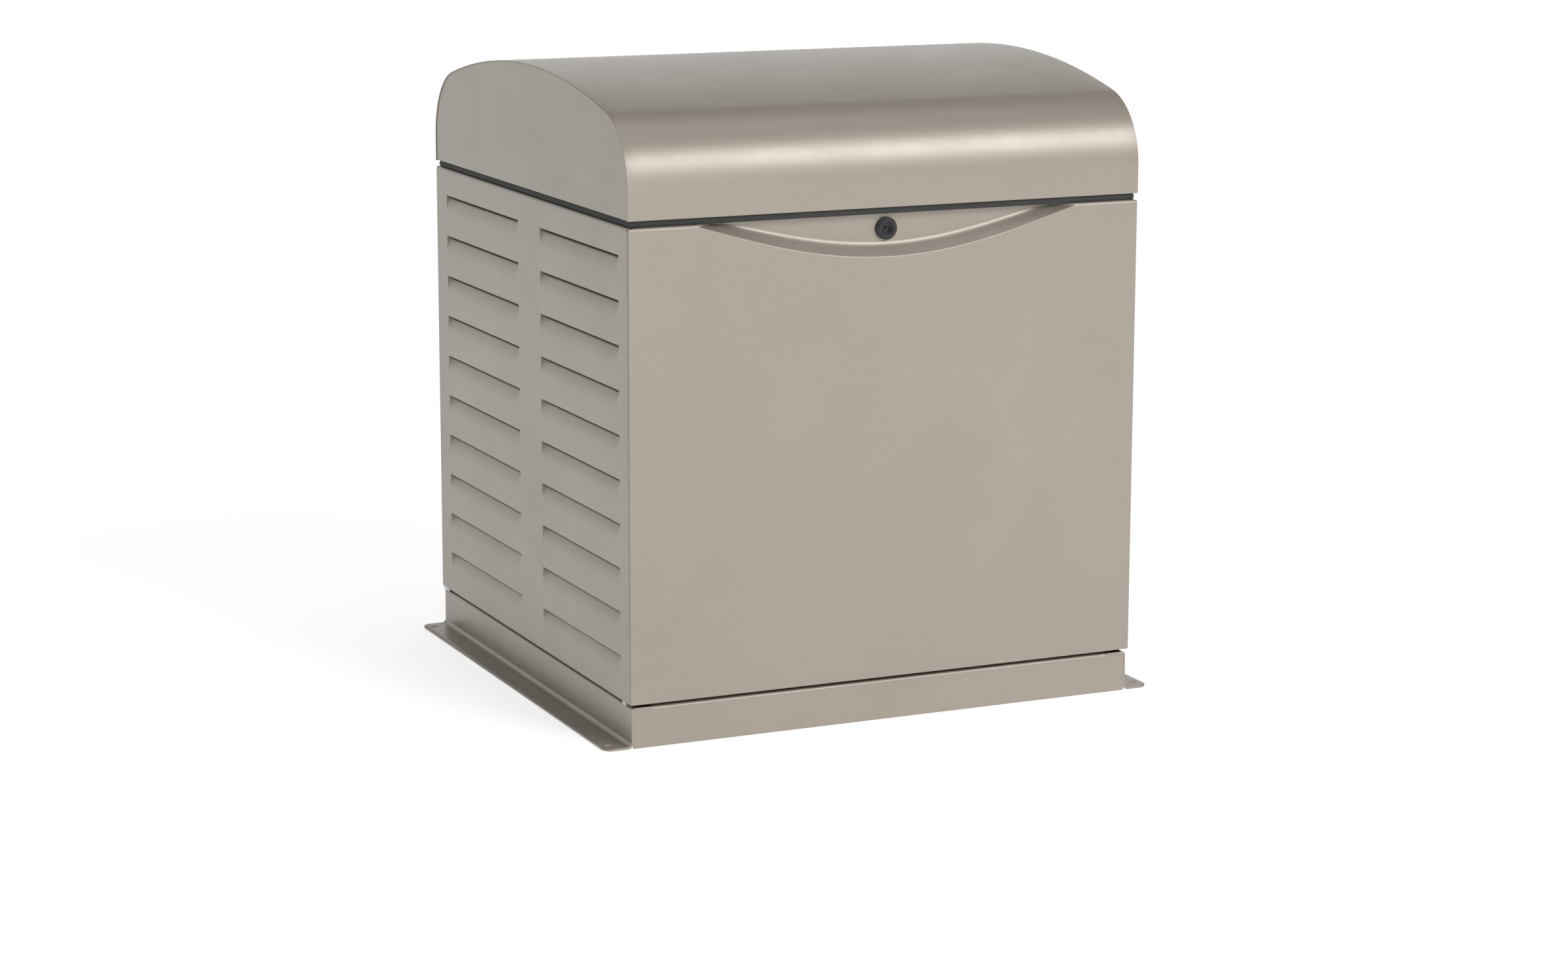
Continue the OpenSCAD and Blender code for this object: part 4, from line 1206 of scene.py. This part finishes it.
@dataclass
class Base:
    """The folded base: side rails with foot flanges, and cross rails."""

    shell: Shell
    inset: float = 3 * MM
    sheet: float = 3 * MM
    fillet: float = 6 * MM
    top_bend: float = 4.5 * MM
    flange_corner: float = 14 * MM

    def build(self) -> None:
        """Makes both side rails and the cross rails."""
        for side, name in ((-1, "base_rail_left"), (1, "base_rail_right")):
            self._rail(side, name)
        self._cross_rails()

    def _rail(self, side: int, name: str) -> None:
        """Makes one side rail.

        Args:
            side: -1 for the left rail, 1 for the right one.
            name: the CAD node it stands for.
        """
        low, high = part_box(name)
        outer = max(abs(low.x), abs(high.x))
        wall, top, half = self.shell.half - self.inset, high.z, high.y
        piece = Piece(f"{name}_sheet")
        corner = self.flange_corner
        ends = [corner * (1 - math.cos(math.pi / 2 * i / 10)) for i in range(11)]
        columns = [-half + e for e in ends] + [half - e for e in reversed(ends)]
        foot_start = wall + self.fillet
        web = [(wall + self.fillet - x, self.sheet + self.fillet - y)
               for x, y in arc(self.fillet, 90, 0, 6)]
        bend = [(wall - self.top_bend + x, top - self.top_bend + z)
                for x, z in arc(self.top_bend, 0, 90, 6)]
        profile = web + bend + [(wall - 30 * MM, top)]
        rows: Grid = []
        for y in columns:
            gone = half - abs(y)
            pull = 0.0
            if gone < corner:
                pull = corner - math.sqrt(max(0.0, corner**2 - (corner - gone) ** 2))
            row = [(side * (outer - pull - (outer - pull - foot_start) * t), y, self.sheet)
                   for t in (0.0, 0.25, 0.5, 0.75)]
            row += [(side * x, y, z) for x, z in profile]
            rows.append(row)
        piece.skin(rows)
        piece.tidy(face_outward=False)
        piece.face((side, 0, 1))
        made = piece.finish(BEIGE, "frame", "paint_beige", [name], crease=50)
        thicken(made, self.sheet)
        anchor_x, anchor_y = outer - 13 * MM, half - 21 * MM
        carve(made, [((side * anchor_x, s * anchor_y, -0.004), 5 * MM, 0.012, "z") for s in (-1, 1)])

    def _cross_rails(self) -> None:
        """Makes the front and rear rails, each with a bend along its top."""
        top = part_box("base_rail_left")[1].z
        wall = self.shell.half - self.inset
        half = wall - 3.2 * MM
        piece = Piece("base_cross_sheet")
        bend = [(wall - self.top_bend + y, top - self.top_bend + z)
                for y, z in arc(self.top_bend, 0, 90, 6)]
        profile = [(wall, 0.0)] + bend + [(wall - 30 * MM, top)]
        for side in (-1, 1):
            rows = [[(x, side * y, z) for y, z in profile] for x in (-half * side, half * side)]
            piece.skin(rows)
        piece.tidy(face_outward=False)
        for made in piece.shape.faces:
            made.normal_update()
            middle = made.calc_center_median()
            if made.normal.dot(Vector((0, math.copysign(1, middle.y), 1))) < 0:
                made.normal_flip()
        sheet = piece.finish(BEIGE, "frame", "paint_beige", ["base_cross_rails"], crease=50)
        thicken(sheet, self.sheet)


@dataclass
class Latch:
    """The quarter-turn latch: a housing in the panel and a barrel with its cam."""

    def build(self) -> None:
        """Makes the housing and the barrel."""
        low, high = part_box("lock_housing")
        z = (low.z + high.z) / 2
        front = low.y
        housing = Piece("latch_housing")
        bore = 7.2 * MM
        housing.turn(
            [(22 * MM, bore), (22 * MM, 11 * MM), (6.5 * MM, 11 * MM), (6.5 * MM, 15 * MM),
             (2.2 * MM, 15 * MM), (1.5 * MM, 14.3 * MM), (1.3 * MM, 13.0 * MM), (0.5 * MM, 12.4 * MM),
             (0.0, 11.8 * MM),
             (0.0, 9.6 * MM), (0.5 * MM, 9.0 * MM), (1.6 * MM, 8.6 * MM), (1.8 * MM, bore)],
            (0, front, z), "y", 64, ring_shaped=True,
        )
        nut_low = front + 8.0 * MM
        housing.turn([(0, 11 * MM), (0, 15.5 * MM), (5 * MM, 15.5 * MM), (5 * MM, 11 * MM)],
                     (0, nut_low, z), "y", 6, ring_shaped=True)
        housing.tidy()
        made = housing.finish(LOCK_BLACK, "front_panel", "lock_black", ["lock_housing"], crease=32)
        soften(made, 0.25 * MM)
        barrel = Piece("latch_barrel")
        cam_low, cam_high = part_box("lock_barrel")
        back = cam_high.y
        barrel.turn(
            [(back - 4 * MM, 6.9 * MM), (front + 2.2 * MM, 6.9 * MM), (front + 1.8 * MM, 6.4 * MM),
             (front + 1.8 * MM, 5.4 * MM), (front + 4.5 * MM, 5.0 * MM), (front + 4.5 * MM, 0.01 * MM)],
            (0, 0, z), "y", 48,
        )
        barrel.turn([(front + 2.0 * MM, 2.6 * MM), (front + 2.4 * MM, 3.2 * MM),
                     (front + 5.5 * MM, 3.2 * MM)], (0, 0, z), "y", 3)
        barrel.block((cam_low.x, back - 7 * MM, cam_low.z), (cam_high.x, back - 4 * MM, cam_high.z))
        barrel.turn([(back - 4.2 * MM, 5 * MM), (back, 5 * MM)], (0, 0, z), "y", 6)
        barrel.tidy()
        key = barrel.finish(LOCK_BLACK, "latch", "steel_plain", ["lock_barrel"], crease=32)
        soften(key, 0.3 * MM)


# ---------------------------------------------------------------- hoses, leads and pipes


@dataclass(frozen=True)
class Run:
    """A hose, lead or pipe along a smooth curve, in millimetres."""

    points: tuple[Point, ...]
    radius: float

    def centres(self, steps: int = 9) -> list[Vector]:
        """The curve's points in metres.

        Args:
            steps: segments between two of the run's own points.

        Returns:
            The points from end to end.
        """
        p = [Vector(q) for q in self.points]
        line = []
        for i in range(len(p) - 1):
            a, b, c, d = p[max(i - 1, 0)], p[i], p[i + 1], p[min(i + 2, len(p) - 1)]
            for s in range(steps):
                t = s / steps
                line.append(0.5 * (2 * b + (c - a) * t + (2 * a - 5 * b + 4 * c - d) * t * t
                                   + (3 * b - a - 3 * c + d) * t**3) * MM)
        return line + [p[-1] * MM]

    def add_to(self, piece: Piece, sides: int = 16) -> None:
        """Adds the tube to a mesh.

        Args:
            piece: the mesh to add to.
            sides: segments round the tube.
        """
        line = self.centres()
        count = len(line)
        heading = [(line[min(i + 1, count - 1)] - line[max(i - 1, 0)]).normalized() for i in range(count)]
        side = heading[0].orthogonal().normalized()
        rings = []
        for centre, along in zip(line, heading):
            side = (side - along * side.dot(along)).normalized()
            across = along.cross(side)
            ring = []
            for k in range(sides):
                turn = math.tau * k / sides
                spoke = side * math.cos(turn) + across * math.sin(turn)
                ring.append(tuple(centre + spoke * self.radius * MM))
            rings.append(ring)
        piece.sweep(rings)


@dataclass(frozen=True)
class Plumbing:
    """The fixed hoses, leads and pipes, along the same lines as their CAD nodes, in millimetres."""

    crank: tuple[float, float] = (20.0, 235.0)
    bore_reach: float = 190.0
    port_rise: float = 16.0
    fin_half: float = 56.0
    banks: tuple[float, float] = (-145.0, -95.0)
    service: float = 110.0
    outlet: float = 400.0
    regulator: Point = (-262.0, 285.0, 262.0)

    def exhaust(self) -> list[Run]:
        """One pipe from each head to an end of the muffler.

        Returns:
            The two pipes.
        """
        arm = (self.bore_reach + self.port_rise) / math.sqrt(2)
        side = self.fin_half / math.sqrt(2)
        runs = []
        for x, s, end in ((self.banks[0], -1, -140.0), (self.banks[1], 1, 180.0)):
            y, z = self.crank[0] + s * (arm + side), self.crank[1] + arm - side
            across = y + s * 30
            runs.append(Run((
                (x, y + s * 0.6, z - 0.6), (x, y + s * 8, z - 8), (x, y + s * 15, z - 15),
                (x + 16, y + s * 27, z - 27), (x + 50, across, z - 30), (120, across, z - 20),
                (220, across, self.outlet - 40), (270, (across + end) / 2 + s * 16, self.outlet - 4),
                (290, end + s * 26, self.outlet), (290, end + s * 12, self.outlet),
                (290, end + s * 0.8, self.outlet),
            ), 15.0))
        return runs

    def fuel(self) -> list[Run]:
        """The hose from the valve to the regulator and the one on to the mixer.

        Returns:
            The two hoses.
        """
        x, y, z = self.regulator
        inlet = self.crank[1] + (self.bore_reach + self.port_rise + self.fin_half) / math.sqrt(2) + 24
        return [
            Run(((-250, 269.2, self.service), (-250, 260, self.service), (-250, 250, self.service),
                 (-266, 226, self.service + 6), (x - 44, y - 60, z - 128), (x - 58, y - 28, z - 112),
                 (x - 36, y - 6, z - 96), (x - 5, y, z - 86), (x, y, z - 76), (x, y, z - 66.8)), 9.0),
            Run(((x, y, z + 66.8), (x, y, z + 76), (x, y, z + 90), (x + 4, y - 8, 420), (x + 14, y - 40, 474),
                 (-222, 150, 480), (-205, 70, 470), (-192, 24, 452), (-180, 20, inlet), (-170, 20, inlet),
                 (-160.8, 20, inlet)), 9.0),
        ]

    def cable(self) -> Run:
        """The power cable from the breaker down to the conduit hub.

        Returns:
            The cable.
        """
        return Run((
            (310, -254.2, 540), (310, -240, 540), (310, -228, 538), (320, -204, 505), (326, -195, 400),
            (326, -190, 250), (324, -175, 130), (322, -130, 72), (322, 0, 67), (318, 160, 67), (285, 275, 74),
            (256, 318, 104), (250, 338, self.service), (250, 348, self.service), (250, 359.5, self.service),
        ), 9.0)

    def build(self) -> None:
        """Makes every run as smooth tubes."""
        for name, runs, finish, slot, node in (
            ("exhaust_runs", self.exhaust(), ALUMINISED, "aluminised", "exhaust_pipes"),
            ("fuel_hose_runs", self.fuel(), RUBBER, "rubber_black", "fuel_hoses"),
            ("power_cable_run", [self.cable()], RUBBER, "rubber_black", "power_cable"),
        ):
            piece = Piece(name)
            for run in runs:
                run.add_to(piece, 24)
            piece.tidy()
            piece.finish(finish, "frame", slot, [node], crease=50)


class Fittings:
    """The small parts inside the cabinet: filter pleats, clamps, the display and the battery leads."""

    pleats = 72
    pleat_depth = 9 * MM

    def build(self) -> None:
        """Makes every fitting."""
        self._filter()
        self._clamps()
        self._display()
        self._battery_leads()

    def _filter(self) -> None:
        """Makes the pleated paper ring between its two rubber end rings."""
        low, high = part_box("air_filter")
        at = ((low.x + high.x) / 2, (low.y + high.y) / 2)
        outer, inner = (high.x - low.x) / 2 - 0.5 * MM, 61 * MM
        paper = Piece("filter_pleats")
        rings = []
        for i in range(2 * self.pleats):
            turn = math.tau * i / (2 * self.pleats)
            fold = self.pleat_depth if i % 2 else 0.0
            rings.append([
                (at[0] + radius * math.cos(turn), at[1] + radius * math.sin(turn), z)
                for radius, z in ((outer - fold, low.z + 3 * MM), (outer - fold, high.z - 3 * MM),
                                  (inner, high.z - 3 * MM), (inner, low.z + 3 * MM))
            ])
        paper.sweep(rings, closed=True)
        paper.tidy()
        paper.finish(PAPER, "frame", "filter_paper", ["air_filter"], crease=20)
        ends = Piece("filter_end_rings")
        for base in (low.z, high.z - 5 * MM):
            ends.turn([(0, inner), (0, outer), (1.2 * MM, outer + 0.4 * MM), (3.8 * MM, outer + 0.4 * MM),
                       (5 * MM, outer), (5 * MM, inner)], (*at, base), "z", 96, ring_shaped=True)
        ends.tidy()
        ends.finish(RUBBER, "frame", "rubber_black")

    @staticmethod
    def _clamps() -> None:
        """Makes the band clamps on the fuel hoses, at the valve and on both sides of the regulator."""
        x, y, z = (v * MM for v in Plumbing.regulator)
        service = Plumbing.service * MM
        bands = [
            ((-0.25, 0.256, service), "y"),
            ((x, y, z - 0.080), "z"),
            ((x, y, z + 0.070), "z"),
        ]
        piece = Piece("hose_clamps")
        for at, axis in bands:
            piece.turn([(0, 9.1 * MM), (0, 10.2 * MM), (9 * MM, 10.2 * MM), (9 * MM, 9.1 * MM)], at, axis, 40,
                       ring_shaped=True)
            middle = Vector(at) + Vector((0, 4.5 * MM, 0) if axis == "y" else (0, 0, 4.5 * MM))
            piece.turn([(-6 * MM, 3 * MM), (6 * MM, 3 * MM)], tuple(middle + Vector((0, 0, 12 * MM))
                       if axis == "y" else middle + Vector((0, 12 * MM, 0))), "x", 6)
        piece.tidy()
        soften(piece.finish(ZINC, "frame", "galvanised"), 0.3 * MM)

    @staticmethod
    def _display() -> None:
        """Makes the controller's display glass and its two lamps."""
        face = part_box("controller_face")[0].y
        lamp_z = 0.592
        glass = Piece("controller_glass")
        glass.block((-0.1925, face + 0.6 * MM, 0.5675), (-0.1175, face + 2.9 * MM, 0.6125))
        glass.tidy()
        soften(glass.finish(GLASS, "frame", "grey_plastic"), 0.3 * MM)
        for x, finish in ((-0.275, LAMP_GREEN), (-0.255, LAMP_AMBER)):
            lamp = Piece(f"controller_{finish.name}")
            lamp.turn([(1 * MM, 3 * MM), (-1.0 * MM, 3 * MM), (-2.2 * MM, 2.2 * MM), (-2.8 * MM, 0.8 * MM)],
                      (x, face + 2.0 * MM, lamp_z), "y", 24)
            lamp.tidy()
            lamp.finish(finish, "frame", "green_plastic" if finish is LAMP_GREEN else "grey_plastic")

    @staticmethod
    def _battery_leads() -> None:
        """Makes the two battery leads, which run to the engine bay's floor."""
        low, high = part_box("battery")
        post_y, top = low.y * 1000 + 29, high.z * 1000
        left, right = low.x * 1000 + 29, high.x * 1000 - 29
        for name, x, way, finish, slot in (
            ("battery_lead_live", left, -1, RED_PAINT, "red_paint"),
            ("battery_lead_earth", right, 1, RUBBER, "rubber_black"),
        ):
            piece = Piece(name)
            outward = low.x * 1000 - 34 if way < 0 else high.x * 1000 + 16
            Run(((x, post_y, top + 5), (x + way * 14, post_y + 2, top + 6),
                 (outward, post_y + 8, top - 22), (outward, post_y + 14, 180), (outward, post_y + 20, 90),
                 (outward, post_y + 40, 64), (outward, post_y + 120, 63)), 4.5).add_to(piece, 14)
            piece.turn([(-3 * MM, 11 * MM), (6 * MM, 10 * MM)], (x * MM, post_y * MM, top * MM), "z", 24)
            piece.tidy()
            piece.finish(finish, "frame", slot, crease=40)


# ---------------------------------------------------------------- the room


@dataclass(frozen=True)
class Viewpoint:
    """The camera: its place, where it looks and its lens."""

    position: Point = (-2.0813, -4.6106, 1.3113)
    yaw: float = 0.42691
    pitch: float = 0.18764
    roll: float = 0.00242
    lens: float = 82.47
    sensor: float = 36.0
    shift: float = -0.0458333

    def build(self) -> None:
        """Makes the camera and makes it the scene's."""
        data = bpy.data.cameras.new("camera")
        data.sensor_width = self.sensor
        data.lens = self.lens
        data.shift_y = self.shift
        data.clip_end = 60.0
        forward = Vector((math.sin(self.yaw) * math.cos(self.pitch),
                          math.cos(self.yaw) * math.cos(self.pitch), -math.sin(self.pitch)))
        level = Vector((math.cos(self.yaw), -math.sin(self.yaw), 0))
        up = level.cross(forward)
        right = level * math.cos(self.roll) + up * math.sin(self.roll)
        top = up * math.cos(self.roll) - level * math.sin(self.roll)
        turn = Matrix((right, top, -forward)).transposed()
        camera = bpy.data.objects.new("camera", data)
        camera.matrix_world = Matrix.Translation(self.position) @ turn.to_4x4()
        bpy.context.scene.collection.objects.link(camera)
        bpy.context.scene.camera = camera


@dataclass(frozen=True)
class Softbox:
    """One area light."""

    name: str
    position: Point
    size: tuple[float, float]
    power: float
    colour: Colour = (1.0, 1.0, 1.0)
    target: Point = (0.0, 0.0, 0.45)

    def build(self) -> None:
        """Makes the light and aims it."""
        data = bpy.data.lights.new(self.name, "AREA")
        data.shape = "RECTANGLE"
        data.size, data.size_y = self.size
        data.energy = self.power
        data.color = self.colour
        light = bpy.data.objects.new(self.name, data)
        light.location = self.position
        aim = Vector(self.target) - Vector(self.position)
        light.rotation_mode = "QUATERNION"
        light.rotation_quaternion = aim.to_track_quat("-Z", "Y")
        bpy.context.scene.collection.objects.link(light)


class Studio:
    """The floor, the light and the surroundings."""

    lights = (
        Softbox("key", (2.3, -4.1, 3.6), (3.4, 1.9), 170.0),
        Softbox("front_fill", (0.6, -5.6, 1.6), (2.5, 2.0), 34.0),
        Softbox("top", (0.2, -0.2, 4.6), (3.0, 3.0), 26.0),
    )

    def build(self) -> None:
        """Makes the lights, the world and the floor."""
        for light in self.lights:
            light.build()
        world = bpy.data.worlds.new("studio")
        world.use_nodes = True
        ground = world.node_tree.nodes["Background"]
        ground.inputs["Color"].default_value = (1.0, 1.0, 1.0, 1.0)
        ground.inputs["Strength"].default_value = 0.18
        bpy.context.scene.world = world
        bpy.context.scene.view_settings.view_transform = "Standard"
        self._floor()

    @staticmethod
    def _floor() -> None:
        """Makes the pale floor and the backdrop."""
        recipe = Recipe("studio_floor")
        tone = recipe.noise(1.5, 2.0)
        recipe.set(
            base_color=recipe.mixed(tone, (0.86, 0.86, 0.86), (0.88, 0.88, 0.88)),
            roughness=0.75,
            emission_color=(1.0, 1.0, 1.0),
            emission_strength=0.64,
        )
        for name, corners in (
            ("floor", ((-20, -20, -0.0005), (20, -20, -0.0005), (20, 12, -0.0005), (-20, 12, -0.0005))),
            ("backdrop", ((-20, 12, -0.0005), (20, 12, -0.0005), (20, 12, 9), (-20, 12, 9))),
        ):
            mesh = bpy.data.meshes.new(name)
            mesh.from_pydata(corners, [], [(0, 1, 2, 3)])
            mesh.materials.append(recipe.material if name == "floor" else Studio._backdrop())
            sheet = bpy.data.objects.new(name, mesh)
            bpy.context.scene.collection.objects.link(sheet)

    @staticmethod
    def _backdrop() -> bpy.types.Material:
        """The white paper behind the object.

        Returns:
            Its material.
        """
        recipe = Recipe("studio_backdrop")
        recipe.set(base_color=(0.0, 0.0, 0.0), roughness=1.0,
                   emission_color=(1.0, 1.0, 1.0), emission_strength=1.0)
        return recipe.material


# ---------------------------------------------------------------- assembly


class Enclosure:
    """Every sheet of the cabinet."""

    def __init__(self) -> None:
        """Reads the shared sizes."""
        self.shell = Shell.from_frame()

    def louvres(self) -> list[Louvre]:
        """The louvres of a side panel.

        Returns:
            The louvres.
        """
        return [
            Louvre(start * MM, end * MM, (120 + 59.2 * row) * MM)
            for start, end in ((-342, -54), (31, 330))
            for row in range(10)
        ]

    def build(self) -> None:
        """Makes the panels, the roof, the base and the latch."""
        half = self.shell.half
        side = (-half + 2.2 * MM, half - 1.5 * MM)
        LouvredPanel(self.shell, Side.LEFT, "left_panel", side, self.louvres()).build(
            "panel_left", "paint_beige")
        LouvredPanel(self.shell, Side.RIGHT, "right_panel", side, self.louvres()).build(
            "panel_right", "paint_beige", [((half - 0.03, -11.5 * MM, 0.4), 24 * MM, 0.06, "x")])
        FrontPanel(self.shell).build()
        Roof(self.shell).build()
        Gasket(self.shell).build()
        Base(self.shell).build()
        Latch().build()
        Plumbing().build()
        Fittings().build()


def main() -> None:
    """Builds the room and the generator."""
    logging.basicConfig(level=logging.INFO, format="%(message)s")
    Viewpoint().build()
    Studio().build()
    PALETTE.dress_carried()
    Enclosure().build()


if __name__ == "__main__":
    main()
